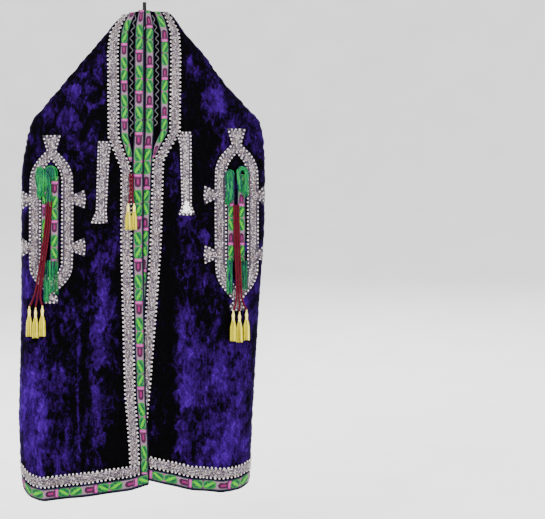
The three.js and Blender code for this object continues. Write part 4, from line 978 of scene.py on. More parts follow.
def right_handed(frames):
    """Frames with their first direction turned round where they are left handed."""
    flip = np.einsum("nk,nk->n", np.cross(frames[:, 0], frames[:, 1]), frames[:, 2]) < 0
    frames = frames.copy()
    frames[flip, 0] *= -1
    return frames


def set_beads(heap, band, w, l, radius):
    """Round pearly beads sewn on at places on a band."""
    centres, frames, width = band.frames(w, l, TOP - 0.4)
    size = radius * (1 + 0.07 * RNG.standard_normal(len(centres)))
    sizes = np.stack([size * np.minimum(width, STRETCH), size, size * BEAD_RISE], -1)
    heap.copies(BEAD, centres, frames, sizes, np.full(len(centres), LOOK_PEARL))


# How often each look comes up among the lumps.
PEBBLE_LOOKS = np.repeat([LOOK_PEARL, LOOK_SILVER, LOOK_LILAC, LOOK_SAND, LOOK_SMOKE], [16, 28, 22, 22, 17])


def set_pebbles(heap, band, w, l, bright=0.0, painted_highlight=False):
    """The braid's knobbly silver threads: small uneven lumps in mixed colours."""
    centres, frames, width = band.frames(w, l, TOP - 0.3)
    count = len(centres)
    size = PEBBLE_PITCH * 0.5 * RNG.uniform(0.74, 1.08, (count, 3))
    size[:, 0] *= np.minimum(width, STRETCH)
    size[:, 1] *= RNG.uniform(0.9, 1.35, count)
    size[:, 2] *= RNG.uniform(0.45, 0.85, count)
    looks = RNG.choice(PEBBLE_LOOKS, count)
    looks = np.where(RNG.random(count) < bright, LOOK_PEARL, looks)
    # Lumps marked as painted highlight are white and larger.
    looks = np.where(painted_highlight, LOOK_PAINTED_HIGHLIGHT, looks)
    size = np.where(np.broadcast_to(painted_highlight, count)[:, None], size * 1.3, size)
    heap.copies(PEBBLE, centres, frames, size, looks)


BEAD_PITCH, BEAD_RADIUS, BEAD_INSET, BEAD_RISE, PEBBLE_PITCH = 12.7, 3.1, 3.1, 0.775, 4.4
STRETCH = 1.1  # the most that beads and lumps are widened where a strip is spread out


def pebble_lattice(half, start, end):
    """Places of a jittered lattice that fills a strip."""
    columns = max(2, round(2 * half / PEBBLE_PITCH) + 1)
    rows = max(2, int((end - start) / (PEBBLE_PITCH * 0.92)))
    w, l = np.meshgrid(np.linspace(-half, half, columns), np.linspace(start, end, rows))
    l = l + (np.arange(columns) % 2) * PEBBLE_PITCH * 0.46
    w = w + RNG.normal(0, PEBBLE_PITCH * 0.10, w.shape)
    l = l + RNG.normal(0, PEBBLE_PITCH * 0.12, l.shape)
    keep = (l > start - 1) & (l < end + 1)
    return w[keep], l[keep]


def bead_braid(heap, band, width, start, end):
    """The braid itself: a lace strip, knobbly silver down its middle and beads along its edges."""
    strip(heap, band, width - 4 * BEAD_INSET + 3, start, end, LIE, TRIM, LOOK_LACE, 8)
    half = width / 2 - 2 * BEAD_INSET - 2.3
    set_pebbles(heap, band, *pebble_lattice(half, start + 2, end - 2))
    even = np.arange(start + 5, end - 2, BEAD_PITCH)
    for side in (-1, 1):
        l = even + RNG.normal(0, 0.5, len(even))
        w = side * (width / 2 - BEAD_INSET) + RNG.normal(0, 0.25, len(even))
        set_beads(heap, band, w, l, BEAD_RADIUS)


def braid_piece(name, node, band, width, inset=0.0):
    """Bead braid along a band, short of its ends by an inset."""
    heap = Heap()
    bead_braid(heap, band, width, inset, band.length - inset)
    return heap.build(name, BEAD_LOOKS, "bead_braid", node)


# ---------- woven ribbons ----------
# Half of the pattern's width, with the dark selvedge beyond it, on a ribbon of the drawn width.
RIBBON_HALF, DRAWN_WIDTH = 10.8, 28
UPRIGHT = 1.57  # the way the threads of the bars lie


def tongue(half, top, foot):
    """A U: a bar with a round lower end."""
    turn = np.radians(np.linspace(15, 165, 7))
    arc = np.stack([half * np.cos(turn), foot - half + half * np.sin(turn)], -1)
    return np.concatenate([[(half, top), (half, foot - half)], arc, [(-half, foot - half), (-half, top)]])


LEAF = [(-0.62, 0), (0.55, 0), (0.86, 0.10), (1, 0.28), (0.97, 0.55), (0.92, 0.8), (0.66, 1), (-0.6, 1),
        (-0.94, 0.84), (-1, 0.6), (-0.95, 0.3), (-0.84, 0.1)]
# Strokes over a leaf: share across and along of both ends, half width, look.
LEAF_STROKES = [((-0.75, 0.92), (0.8, 0.08), 3.1, LOOK_LIME), ((-0.9, 0.56), (0.2, 0.05), 3.0, LOOK_TEAL),
                ((-0.05, 0.97), (0.92, 0.46), 3.0, LOOK_TEAL), ((-0.3, 0.42), (0.5, 0.72), 1.7, LOOK_LIME)]
# Where the figures of the repeat start and end along it, from its pink bar on.
TULIP_BAR, TULIP_ROSE, TULIP_CAP, TULIP_CUP, TULIP_HEART = (0, 9), (2.6, 6.2), (9, 12), (12, 39), (14.5, 31)
LEAVES = ((46, 86), (87.2, 123.2))
REPEAT = 123.0


def stroke(start, end, half):
    """A leaf-shaped stroke between two places."""
    start, end = np.asarray(start, float), np.asarray(end, float)
    way = unit(end - start)
    side = np.array([-way[1], way[0]])
    shares = np.array([0, 0.12, 0.35, 0.65, 0.88, 1])
    swell = np.array([0.1, 0.6, 1, 1, 0.6, 0.1]) * half
    line = start + (end - start) * shares[:, None]
    return np.concatenate([line + side * swell[:, None], (line - side * swell[:, None])[::-1]])


class Pattern:
    """The ribbon's repeat laid along a band between two ends, clipped to whole figures."""

    def __init__(self, heap, band, width, start, end, first, repeat, turned):
        self.heap, self.band, self.half = heap, band, RIBBON_HALF * width / DRAWN_WIDTH
        self.start, self.end = start, end
        self.scale = repeat / REPEAT * (-1 if turned else 1)
        for index in range(-2, int((end - first) / repeat) + 3):
            self.origin = first + index * repeat
            self.draw(index)

    def figure(self, points, lift, rise, look, lean=0.0):
        """A raised patch from points of the repeat, cut at the ribbon's ends."""
        points = np.array(points, float)
        points[:, 1] = np.clip(points[:, 1] * self.scale + self.origin, self.start, self.end)
        if np.ptp(points[:, 1]) > 1.5:
            patch(self.heap, self.band, points, TOP + lift, rise, look, lean)

    def bar(self, low, high, half, lift, rise, look):
        middle = (low + high) / 2
        self.figure([(-half, low), (0, low), (half, low), (half, middle), (half, high), (0, high),
                     (-half, high), (-half, middle)], lift, rise, look, UPRIGHT)

    def draw(self, index):
        """All figures of one repeat, a little different each time."""
        half = self.half
        wobble = np.random.default_rng(abs(index) + 7).uniform(-0.5, 0.5, 8)
        self.bar(*TULIP_BAR, half, 0, 0.45, LOOK_PINK)
        self.bar(TULIP_ROSE[0] + wobble[0], TULIP_ROSE[1], half * 0.8, 0.45, 0.3, LOOK_ROSE)
        self.bar(*TULIP_CAP, half, 0, 0.55, LOOK_MAGENTA)
        self.figure(tongue(half * 0.8, *TULIP_CUP), 0, 0.6, LOOK_MAGENTA)
        self.figure(tongue(half * 0.30, *TULIP_HEART) + [wobble[1], 0], 0.6, 0.35, LOOK_BERRY)
        for (low, high), turn, shift in zip(LEAVES, (1, -1), wobble[2:4]):
            self.leaf(low, high, turn, shift)
        waist = (LEAVES[0][1] + LEAVES[1][0]) / 2
        for side in (-1, 1):
            edge = side * half
            notch = [(edge, -6), (edge, -0.5), (edge * 0.66, -0.5), (edge * 0.72, -4)]
            self.figure(notch, 0.4, 0.3, LOOK_NAVY)
            inner = edge * 0.62
            wedge = [(edge, waist - 5), (edge, waist + 5), (inner, waist + 1), (inner, waist - 1)]
            self.figure(wedge, 0, 0.3, LOOK_PINK if side * index % 2 else LOOK_MAGENTA)

    def leaf(self, low, high, turn, shift):
        """A leaf with its lime and dark strokes."""
        half, tall = self.half, high - low
        outline = [(turn * x * half * 1.02, low + y * tall) for x, y in LEAF]
        self.figure(outline, 0, 0.5, LOOK_GREEN, 0.7 * turn)
        for *ends, thick, look in LEAF_STROKES:
            ends = [(turn * x * half * 0.95 + shift, low + y * tall) for x, y in ends]
            rise = 0.4 if look == LOOK_LIME else 0.25
            self.figure(stroke(*ends, thick * half / RIBBON_HALF), 0.5, rise, look, 0.8 * turn)


def ribbon_piece(name, node, band, width, first, repeat, turned, inset=0.0):
    """A woven ribbon along a band: dark selvedges, its ground, the figures and the stitches."""
    heap, start, end = Heap(), inset, band.length - inset
    strip(heap, band, width, start, end, LIE, TRIM - 0.15, LOOK_NAVY)
    strip(heap, band, 2 * RIBBON_HALF * width / DRAWN_WIDTH, start, end, LIE + 0.4, TRIM - 0.4, LOOK_GROUND)
    Pattern(heap, band, width, start + 0.5, end - 0.5, first, repeat, turned)
    for side in (-1, 1):
        stitches(heap, band, side * (width / 2 - 1.1), start + 3, end - 3)
    return heap.build(name, RIBBON_LOOKS, "woven_ribbon", node)


STITCH_PITCH, STITCH_SIZE = 6.5, [0.45, 1.7, 0.55]


def stitches(heap, band, w, start, end):
    """Small running stitches that hold a ribbon down."""
    l = np.arange(start, end, STITCH_PITCH)
    centres, frames, _ = band.frames(np.full(len(l), float(w)), l, TOP - 0.3)
    heap.copies(PEBBLE, centres, frames, np.tile(STITCH_SIZE, (len(l), 1)), np.full(len(l), LOOK_TEAL))


def hood_far(cloth):
    """The edge table with the hood ribbon's far side in place of the bead braid's near one."""
    rows = cloth.edges.copy()
    sign = np.sign(cloth.edges[0, NEAR])
    wide = np.minimum(sign * rows[:, HOOD], sign * rows[:, NEAR] - HOOD_RIBBON_LEAST)
    rows[:, HOOD] = sign * np.maximum(sign * rows[:, RIBBON] + SEAM, wide)
    rows[:, NEAR] = rows[:, HOOD] + (rows[:, NEAR] - rows[:, HOOD]) * HOOD_RIBBON_SHARE
    return rows


def hem_at(cloth, above, x):
    """A height above the hem at one place."""
    return float(hem_height(cloth, x)) + above


EDGE_WIDTH, HOOD_WIDTH, FRONT_BRAID_WIDTH = 28, 25, 35


def front_trims(label, cloth, edge_figures, hood_figures, turned, ribbon_x, braid_x):
    """The ribbon along a front edge, the hood's second one and the bead braid beside them.

    Figures are given by the height of the first one and their repeat, feet by their x.
    """
    pieces = []
    ribbon_foot = hem_at(cloth, HEM_RIBBON_TOP + SEAM, ribbon_x)
    for part, near, far, width, foot, edges, (first, repeat) in (
            ("front", EDGE, RIBBON, EDGE_WIDTH, ribbon_foot, None, edge_figures),
            ("hood", HOOD, NEAR, HOOD_WIDTH, HOOD_RIBBON_END, hood_far(cloth), hood_figures)):
        band = edge_band(cloth, near, far, width, foot, edges)
        start = edge_top(cloth, near, far) - first
        pieces.append(ribbon_piece(f"ribbon_{label}_{part}", f"ribbon_{part}_{label}", band, width, start,
                                   repeat, turned))
    foot = hem_at(cloth, HEM_BRAID_TOP, braid_x)
    band = edge_band(cloth, NEAR, FAR, FRONT_BRAID_WIDTH, foot)
    return pieces + [braid_piece(f"braid_{label}_front", f"braid_front_{label}", band, FRONT_BRAID_WIDTH)]


left_trims = front_trims("left", LEFT, (-282.7, 128), (-250.8, 118), False, 0, -40)
right_trims = front_trims("right", RIGHT, (-210, 125), (-248.6, 120), True, -50, 0)


def hem_trims(label, cloth, first):
    """The ribbon and the bead braid along a hem."""
    band = hem_band(cloth, HEM_BINDING, HEM_RIBBON_TOP)
    ribbon = ribbon_piece(f"ribbon_{label}_hem", f"ribbon_hem_{label}", band, HEM_RIBBON_TOP - HEM_BINDING,
                          first, REPEAT, True, inset=1)
    band = hem_band(cloth, HEM_BRAID_FOOT, HEM_BRAID_TOP, NEAR)
    return [ribbon, braid_piece(f"braid_{label}_hem", f"braid_hem_{label}", band,
                                HEM_BRAID_TOP - HEM_BRAID_FOOT, 1)]


left_trims += hem_trims("left", LEFT, 60)
right_trims += hem_trims("right", RIGHT, 90)
back_trims = hem_trims("back", REAR, 70)


# ---------- pockets, drops and the neck's point ----------
def filled(places, outline, holes, margin=None):
    """Whether places lie in an outline and in none of its holes, a margin away from all edges."""
    keep = inside(places, outline)
    for hole in holes:
        keep &= ~inside(places, hole)
    if margin:
        for ring in (outline, *holes):
            keep &= edge_distance(places, ring) > margin
    return keep


def triangulated(outline, holes, cell=7.0):
    """Points and triangles that fill an outline seen from in front, close enough to follow the cloth."""
    low, high = outline.min(0), outline.max(0)
    across, up = np.meshgrid(np.arange(low[0], high[0], cell), np.arange(low[1], high[1], cell))
    inner = np.stack([across.ravel(), up.ravel()], -1)
    inner = inner[filled(inner, outline, holes, cell * 0.4)]
    edges, start = [], 0
    for ring in (outline, *holes):
        edges += [(start + k, start + (k + 1) % len(ring)) for k in range(len(ring))]
        start += len(ring)
    places = [Vector(p) for p in np.concatenate([outline, *holes, inner]).tolist()]
    points, _, faces, _, _, _ = delaunay_2d_cdt(places, edges, [], 0, 1e-5, False)
    points, faces = np.array([tuple(p) for p in points]), np.array(faces)
    return points, faces[filled(points[faces].mean(1), outline, holes)]


def inside(places, outline):
    """Whether places lie in a closed outline."""
    x, y = places[:, 0:1], places[:, 1:2]
    a, b = outline, np.roll(outline, -1, 0)
    crosses = (a[:, 1] > y) != (b[:, 1] > y)
    rise = np.where(np.abs(b[:, 1] - a[:, 1]) < 1e-9, 1e-9, b[:, 1] - a[:, 1])
    return ((x < (b[:, 0] - a[:, 0]) * (y - a[:, 1]) / rise + a[:, 0]) & crosses).sum(1) % 2 == 1


def edge_distance(places, outline):
    """How far places are from a closed outline."""
    a, b = outline, np.roll(outline, -1, 0)
    run = b - a
    length = np.maximum((run ** 2).sum(1), 1e-9)
    share = np.clip(((places[:, None] - a) * run).sum(2) / length, 0, 1)
    return np.linalg.norm(places[:, None] - a - run * share[..., None], axis=2).min(1)


def laid_shape(heap, cloth, outline, holes, lift, thick, look):
    """A flat piece of any outline laid on the cloth, closed all round."""
    points, faces = triangulated(outline, holes)
    upper, lower = (cloth.over(points[:, 0], points[:, 1], rise) for rise in (lift + thick, lift))
    a, b, c = upper[faces[0]]
    if (np.cross(b - a, c - a)[1] > 0) == (cloth.side == FRONT):
        faces = faces[:, ::-1]
    count = len(points)
    used = {edge for face in faces.tolist() for edge in zip(face, face[1:] + face[:1])}
    rim = [(b, a, a + count, b + count) for a, b in used if (b, a) not in used]
    heap.add(np.concatenate([upper, lower]), [faces, faces[:, ::-1] + count, rim], look,
             np.concatenate([points, points]))


def closed_run(outline):
    """A closed outline with its first point again at the end, and the distances along it."""
    closed = np.concatenate([outline, outline[:1]])
    return closed, distances(closed)


def inset_line(outline, depth, pitch):
    """Places at an even pitch along a closed outline, moved in by a depth."""
    closed, run = closed_run(outline)
    places = []
    for at in np.arange(pitch / 2, run[-1], 1.0):
        here, ahead = along(closed, run, at), along(closed, run, (at + 0.6) % run[-1])
        way = unit(ahead - here)
        for side in (-1, 1):
            moved = here + side * depth * np.array([way[1], -way[0]])
            clear = filled(moved[None], outline, [], depth * 0.93)[0]
            if clear and all(np.hypot(*(moved - other)) > pitch for other in places):
                places.append(moved)
    return np.array(places)


RIM_INSET, RIM_BEAD, RIM_WIDTH = 3.0, 2.9, 7.6


def beaded_piece(name, node, cloth, outline, holes, pitch, bright=0.0, painted_highlight_below=-math.inf):
    """A piece of bead braid of any outline: knobbly silver inside a row of beads round its edges."""
    heap, plane = Heap(), Plane(cloth)
    laid_shape(heap, cloth, outline, holes, LIE, TRIM, LOOK_LACE)
    rims = [inset_line(outline, RIM_INSET, pitch)]
    rims += [spaced(hole + unit(hole - hole.mean(0)) * RIM_INSET, pitch) for hole in holes]
    set_beads(heap, plane, *np.concatenate(rims).T, RIM_BEAD)
    low, high = outline.min(0), outline.max(0)
    w, l = pebble_lattice((high[0] - low[0]) / 2, low[1], high[1])
    places = np.stack([w + (high[0] + low[0]) / 2, l], -1)
    x, z = places[filled(places, outline, holes, RIM_WIDTH)].T
    # Lumps under the given height make a white painted highlight.
    set_pebbles(heap, plane, x, z, bright, z < painted_highlight_below)
    return heap.build(name, BEAD_LOOKS, "bead_braid", node)


def spaced(line, pitch):
    """Places at an even pitch along a closed line."""
    closed, run = closed_run(line)
    return along(closed, run, np.linspace(0, run[-1], max(3, int(run[-1] / pitch)), endpoint=False))


def bezier(a, b, c, d, steps):
    """Points along a curve from a to d that b and c pull towards them."""
    t = np.linspace(0, 1, steps)[:, None]
    a, b, c, d = (np.asarray(p, float) for p in (a, b, c, d))
    return a * (1 - t) ** 3 + 3 * b * t * (1 - t) ** 2 + 3 * c * t * t * (1 - t) + d * t ** 3


FRAME_HALF, FRAME_BOW, FRAME_BAND, FRAME_CROWN = 67, 1.5, 34, 96
NECK_HALF, BASE_HALF, BASE_TOP, BASE_TALL = 11, 22, 8, 20
FINIAL_NECK, FINIAL_HALF, FINIAL_TALL = 15, 29, 46
FAN_NEAR, FAN_FAR = 14, 29


def frame_half(pocket, reach):
    """Right half of a pocket frame's outline, from the springing of its arch."""
    straight, foot = pocket["straight"], -pocket["straight"] - pocket["foot"]

    def side(z):
        return FRAME_HALF + FRAME_BOW * (1 - (2 * z / straight + 1) ** 2)

    def fan(z):
        far = FRAME_HALF + reach
        return [(side(z + FAN_NEAR), z + FAN_NEAR), (far - 3, z + FAN_FAR), (far, z + 8), (far + 1, z),
                (far, z - 8), (far - 3, z - FAN_FAR), (side(z - FAN_NEAR), z - FAN_NEAR)]

    arch = bezier((FINIAL_NECK, FRAME_CROWN - 2), (FRAME_HALF * 0.45, FRAME_CROWN * 0.8),
                  (FRAME_HALF, FRAME_CROWN * 0.55), (FRAME_HALF, 0), 12)
    closing = bezier((FRAME_HALF, -straight), (FRAME_HALF, foot + pocket["foot"] * 0.45),
                     (FRAME_HALF * 0.5, foot + pocket["foot"] * 0.3), (NECK_HALF, foot), 10)
    base = [(BASE_HALF, foot - BASE_TOP), (BASE_HALF, foot - BASE_TOP - BASE_TALL)]
    return np.concatenate([[(FINIAL_HALF, FRAME_CROWN + FINIAL_TALL)], arch, fan(pocket["upper_fans"]),
                           fan(pocket["lower_fans"]), closing, base])


def frame_hole(pocket):
    """Right half of the opening in a pocket frame."""
    half, top = FRAME_HALF - FRAME_BAND, FRAME_CROWN - FRAME_BAND + 4
    straight = pocket["straight"]
    foot = -straight - pocket["foot"] + FRAME_BAND + 8
    arch = bezier((0.4, top), (half * 0.4, top * 0.75), (half, top * 0.5), (half, 0), 9)
    closing = bezier((half, -straight), (half * 0.97, (foot + 30 - straight) / 2), (half * 0.6, foot + 20),
                     (0.4, foot), 9)
    return np.concatenate([arch, closing])


def mirrored(right, left, pocket):
    """A closed outline about a pocket's middle from its right half and its left one turned over."""
    middle = [pocket["x"], pocket["z"]]
    return np.concatenate([right + middle, (left * [-1, 1] + middle)[::-1]])


POCKETS = [
    {"name": "pocket_left", "cloth": LEFT, "x": -283, "z": -560, "straight": 250, "foot": 92,
     "upper_fans": -55, "lower_fans": -200, "reach_left": 26, "reach_right": 38},
    {"name": "pocket_right", "cloth": RIGHT, "x": 280, "z": -540, "straight": 274, "foot": 110,
     "upper_fans": -62, "lower_fans": -242, "reach_left": 34, "reach_right": 20},
]


def pocket_frame(pocket):
    """The bead braid round a pocket."""
    right, left = (frame_half(pocket, pocket[reach]) for reach in ("reach_right", "reach_left"))
    hole = mirrored(frame_hole(pocket), frame_hole(pocket), pocket)
    name = pocket["name"]
    outline = mirrored(right, left, pocket)
    return beaded_piece(f"{name}_beads", f"{name}_frame", pocket["cloth"], outline, [hole], 11.5)


# Ribbons in a pocket: node, x from its middle, half width, top, foot, first figure, turned.
POCKET_RIBBONS = {
    "pocket_left": [("inner", 11, 13, 16, -254, 0, False), ("outer", -22, 7, 4, -240, -70, False)],
    "pocket_right": [("inner", -18, 11, 2, -262, -96, True), ("outer", 14, 12, 2, -262, -96, True)],
}


POCKET_REPEAT = 118


def pocket_ribbon(pocket, node, x, half, top, foot, first, turned):
    """A ribbon down the inside of a pocket, turned a little."""
    middle, z, name = pocket["x"] + x, pocket["z"], pocket["name"]
    band = path_band(pocket["cloth"], [(middle, z + top), (middle - 1, z + foot)])
    return ribbon_piece(f"{name}_{node}_weave", f"{name}_ribbon_{node}", band, 2 * half, top - first,
                        POCKET_REPEAT, turned, inset=0.5)


pocket_pieces = {}
for pocket in POCKETS:
    pieces = [pocket_frame(pocket)]
    pieces += [pocket_ribbon(pocket, *row) for row in POCKET_RIBBONS[pocket["name"]]]
    pocket_pieces[pocket["name"]] = pieces

# Drops beside the neck, as corners from the join with the braid round to the fan at the foot, the
# share of bright lumps in them, and the height under which all lumps are white, a painted highlight.
DROPS = [
    ("drop_left", LEFT, [(-142, -438), (-109, -438), (-102, -458), (-106, -482), (-114, -652), (-111, -687),
                         (-163, -687), (-147, -652)], 0.1),
    ("drop_right", RIGHT, [(143, -409), (113, -409), (101, -430), (107, -452), (112, -634), (102, -662),
                           (154, -662), (143, -634)], 0.35, -622),
]


def drop(name, cloth, corners, *colours):
    """A hanging strip of bead braid whose foot is a fan with a slightly bowed end."""
    (x, z), (far_x, _) = corners[5:7]
    outline = np.array([*corners[:6], ((x + far_x) / 2, z - 3), *corners[6:]], float)
    return beaded_piece(f"{name}_beads", name, cloth, outline, [], 10.5, *colours)


left_trims.append(drop(*DROPS[0]))
right_trims.append(drop(*DROPS[1]))


def neck_point():
    """The bead braid round the neckline of the back, dipping to a point in the middle."""
    def height_at(x):
        return neck_height(BACK, x) - NECK_INSET - NECK_BRAID_WIDTH / 2
    band = level_band(REAR, height_at, 0, 1, -60.0, 160)
    return braid_piece("neck_point", "braid_neck_back", band, NECK_BRAID_WIDTH, 0.5)


back_trims.append(neck_point())


# ---------- zigzag braid between the hood's ribbons ----------
def tube(heap, line, radius, look, sides=6, flat=1.0, uv=None):
    """A round or flattened tube along a line, closed at both ends; its radius may change."""
    ways = unit(np.gradient(line, axis=0))
    side = unit(np.cross(ways, (0.0, 1.0, 0.03)))
    up, turn = np.cross(side, ways), turns(sides)
    ring = side[:, None] * np.cos(turn)[:, None] + up[:, None] * np.sin(turn)[:, None] * flat
    points = line[:, None] + ring * np.broadcast_to(radius, (len(line), sides))[..., None]
    if uv is None:
        uv = np.stack(np.broadcast_arrays(turn * 2.0, distances(line)[:, None]), -1)
    heap.add(np.concatenate([points.reshape(-1, 3), line[[0, -1]]]), tube_faces(len(line), sides), look, uv)


def zigzag(label, cloth, x_top, x_middle, x_foot, foot):
    """A thin zigzag braid between the hood's ribbons."""
    heap = Heap()
    z = np.arange(-44, foot, -1.6)
    middle = np.interp(-z, [44, 110, 300, 420], [x_top, x_middle, x_middle, x_foot])
    swing = 4.4 * np.interp(-z, [44, 90], [0.45, 1.0])
    tube(heap, cloth.over(middle + swing * np.sin(-z / 25 * TAU), z, 1.3), 1.35, 0, 6, 0.75)
    return heap.build(f"zigzag_{label}", [ZIGZAG], "woven_ribbon")


ZIGZAG = thread_look("zigzag_braid", (0.085, 0.082, 0.095), (0.035, 0.034, 0.045), 0.5)
left_trims.append(zigzag("left", LEFT, -27, -40, -39, -424))
right_trims.append(zigzag("right", RIGHT, 26, 39, 33, -392))


# ---------- threads, cords and tassels ----------
# Teal and blue floss stand for painted shade between the green strands.
FLOSS_LOOKS = [
    thread_look("floss_green", (0.0006, 0.145, 0.026), (0.0003, 0.055, 0.014), 0.5, 0.0012),
    thread_look("floss_teal_painted_shade", (0.0006, 0.050, 0.036), (0.0003, 0.020, 0.026), 0.5, 0.0012),
    thread_look("floss_blue_painted_shade", (0.002, 0.006, 0.06), (0.001, 0.002, 0.02), 0.5, 0.0012),
    thread_look("floss_mint", (0.003, 0.30, 0.060), (0.001, 0.13, 0.024), 0.5, 0.0012),
]
RED = thread_look("red_cord", (0.082, 0.0, 0.008), (0.030, 0.0, 0.003), 0.6, 0.0022, 0.08)
GREY = thread_look("grey_cord", (0.12, 0.15, 0.135), (0.045, 0.06, 0.055), 0.5, 0.0016)
CORAL = thread_look("coral_cord", (0.19, 0.018, 0.009), (0.06, 0.004, 0.003), 0.5, 0.0022, 0.1)
YELLOW = thread_look("yellow_floss", (0.66, 0.60, 0.0), (0.36, 0.30, 0.0), 0.5, 0.0013)
# A darker yellow, painted shade among the strands and inside the tassel.
SHADE_YELLOW = thread_look("yellow_floss_painted_shade", (0.36, 0.29, 0.0), (0.17, 0.12, 0.0), 0.5, 0.0013)
CREAM = thread_look("cream_binding", (0.95, 0.84, 0.20), (0.66, 0.50, 0.08), 0.5, 0.0012)
TASSEL_LOOKS = [YELLOW, CREAM, RED, SILVER, SHADE_YELLOW]
TASSEL_YELLOW, TASSEL_CREAM, TASSEL_RED, TASSEL_SILVER, TASSEL_SHADE_YELLOW = range(5)


LOOPS, LEG_STEPS, FRINGE_STRANDS, FLOSS_RADIUS = 48, 9, 26, 0.95
# Teal and blue come up among the green as painted shade.
LOOP_COLOURS, FRINGE_COLOURS = [0, 0, 3, 1, 3, 2, 3, 3], [0, 0, 3, 1, 2]  # as they come up by chance


def loop_bunch(heap, cloth, x, half, top, foot, lift, other_foot, inner):
    """Loops of floss that hang over each other, rounded at the top and uneven at the foot."""
    bow = np.linspace(0, math.pi, LEG_STEPS)[1:-1]
    for index in range(LOOPS):
        size = half * (inner + (1 - inner) * ((index * 7) % LOOPS) / LOOPS)
        high = top - (half - size) * 0.75 + RNG.normal(0, 1.8)
        left_low, right_low = foot + RNG.normal(0, 8.0), other_foot + RNG.normal(0, 5.0)
        px = np.concatenate([np.full(LEG_STEPS, -size), -size * np.cos(bow), np.full(LEG_STEPS, size)])
        pz = np.concatenate([np.linspace(left_low, high - size, LEG_STEPS), high - size + size * np.sin(bow),
                             np.linspace(high - size, right_low, LEG_STEPS)])
        fall = smoothstep(high - pz, 0.25 * (high - foot), high - foot)
        px = px * (1 - 0.36 * fall) + RNG.normal(0, half * 0.09)
        px = px + 1.5 * np.sin(pz / 11 + index * 2.1) + RNG.normal(0, half * 0.22) * fall
        depth = lift + 1.0 + 4.2 * RNG.random() + 1.1 * np.sin(pz / 13 + 2 * index)
        line = cloth.over(x + px, pz, np.maximum(depth, lift + 0.9))
        tube(heap, line, FLOSS_RADIUS, int(RNG.choice(LOOP_COLOURS)), 5)


def fringe_bunch(heap, cloth, x, half, top, foot, lift):
    """Straight floss that falls in a flat bunch with uneven ends."""
    for index in range(FRINGE_STRANDS):
        start = x + half * (2 * (index + 0.5) / FRINGE_STRANDS - 1) + RNG.normal(0, 0.8)
        end = start + RNG.normal(0, 1.8)
        low = foot + abs(RNG.normal(0, (top - foot) * 0.09))
        z = np.linspace(top + RNG.normal(0, 1.5), low, 12)
        wave = 0.9 * np.sin(z / 7 + index * 1.7)
        depth = lift + 1.0 + 1.6 * ((index * 5) % 3) / 2 + 0.5 * np.sin(z / 11 + index)
        line = cloth.over(np.linspace(start, end, 12) + wave, z, depth)
        tube(heap, line, FLOSS_RADIUS, int(RNG.choice(FRINGE_COLOURS)), 5)


# Floss in a pocket: node, x from its middle, half width, top and foot, and for loops
# where the right leg ends and how open they are.
POCKET_FLOSS = {
    "pocket_left": [("upper", -33, 11, 42, -40, -38, 0.15), ("upper", -1, 16, 45, -66, 14, 0.1),
                    ("lower", 1, 20, -240, -346), ("lower", -14, 8, -300, -368)],
    "pocket_right": [("upper", -23, 12, 12, -84, -78, 0.1), ("upper", 17, 17, 24, -46, -58, 0.5),
                     ("lower", 15, 17, -262, -352), ("lower", -23, 9, -260, -362)],
}


def pocket_floss(pocket):
    """The loops at a pocket's top and the fringe at its foot, a piece for each."""
    name, z, pieces = pocket["name"], pocket["z"], []
    for node in ("upper", "lower"):
        heap = Heap()
        for part, x, half, top, foot, *loop in POCKET_FLOSS[name]:
            place = (heap, pocket["cloth"], pocket["x"] + x, half, z + top, z + foot, TOP + 0.4)
            if part == node == "upper":
                loop_bunch(*place, z + loop[0], loop[1])
            elif part == node:
                fringe_bunch(*place)
        pieces.append(heap.build(f"{name}_floss_{node}", FLOSS_LOOKS, "silk_threads",
                                 f"{name}_threads_{node}"))
    return pieces


# Radii of a tassel's neck, head, waist and skirt, depths of its head and waist, and its length.
Tassel = namedtuple("Tassel", "neck bulb waist skirt head_at waist_at length")
TASSELS = {
    "pocket": Tassel(2.2, 4.6, 3.7, 9.0, 17, 31, 93), "neck": Tassel(2.2, 4.6, 3.6, 8.0, 14, 26, 80),
    "large": Tassel(2.4, 4.8, 4.0, 9.4, 22, 40, 104), "small": Tassel(1.6, 3.6, 2.7, 5.2, 11, 19, 50),
}
GOLDEN_TURN = 2.39996  # from one strand to the next round a skirt
TASSEL_GAP = 0.6
# Yellow strands, some in the darker yellow of painted shade and one in seven in cream.
STRAND_LOOKS = [TASSEL_YELLOW, TASSEL_SHADE_YELLOW, TASSEL_YELLOW, TASSEL_CREAM, TASSEL_YELLOW, TASSEL_YELLOW,
                TASSEL_SHADE_YELLOW]
CORD_RADIUS = 3.1


def turned(heap, top, axes, profile, look, sides=14):
    """A turned shape: radii at depths below its top, round the last of three axes."""
    across, out, down = axes
    radius, depth = np.array(profile, float).T[..., None]
    turn = turns(sides)
    ways = np.cos(turn)[:, None] * across + np.sin(turn)[:, None] * out
    points = top + depth[..., None] * down + radius[..., None] * ways
    uv = np.stack(np.broadcast_arrays(turn * 4, depth), -1)
    heap.add(np.concatenate([points.reshape(-1, 3), top + depth[[0, -1]] * down]),
             tube_faces(len(depth), sides), look, uv)


def wrapped(radius, start, end, depth=0.35):
    """Profile of a thread wound four times round a stem."""
    return [(radius - depth * (0.5 + 0.5 * math.cos(4 * TAU * share)), start + (end - start) * share)
            for share in np.linspace(0, 1, 17)]


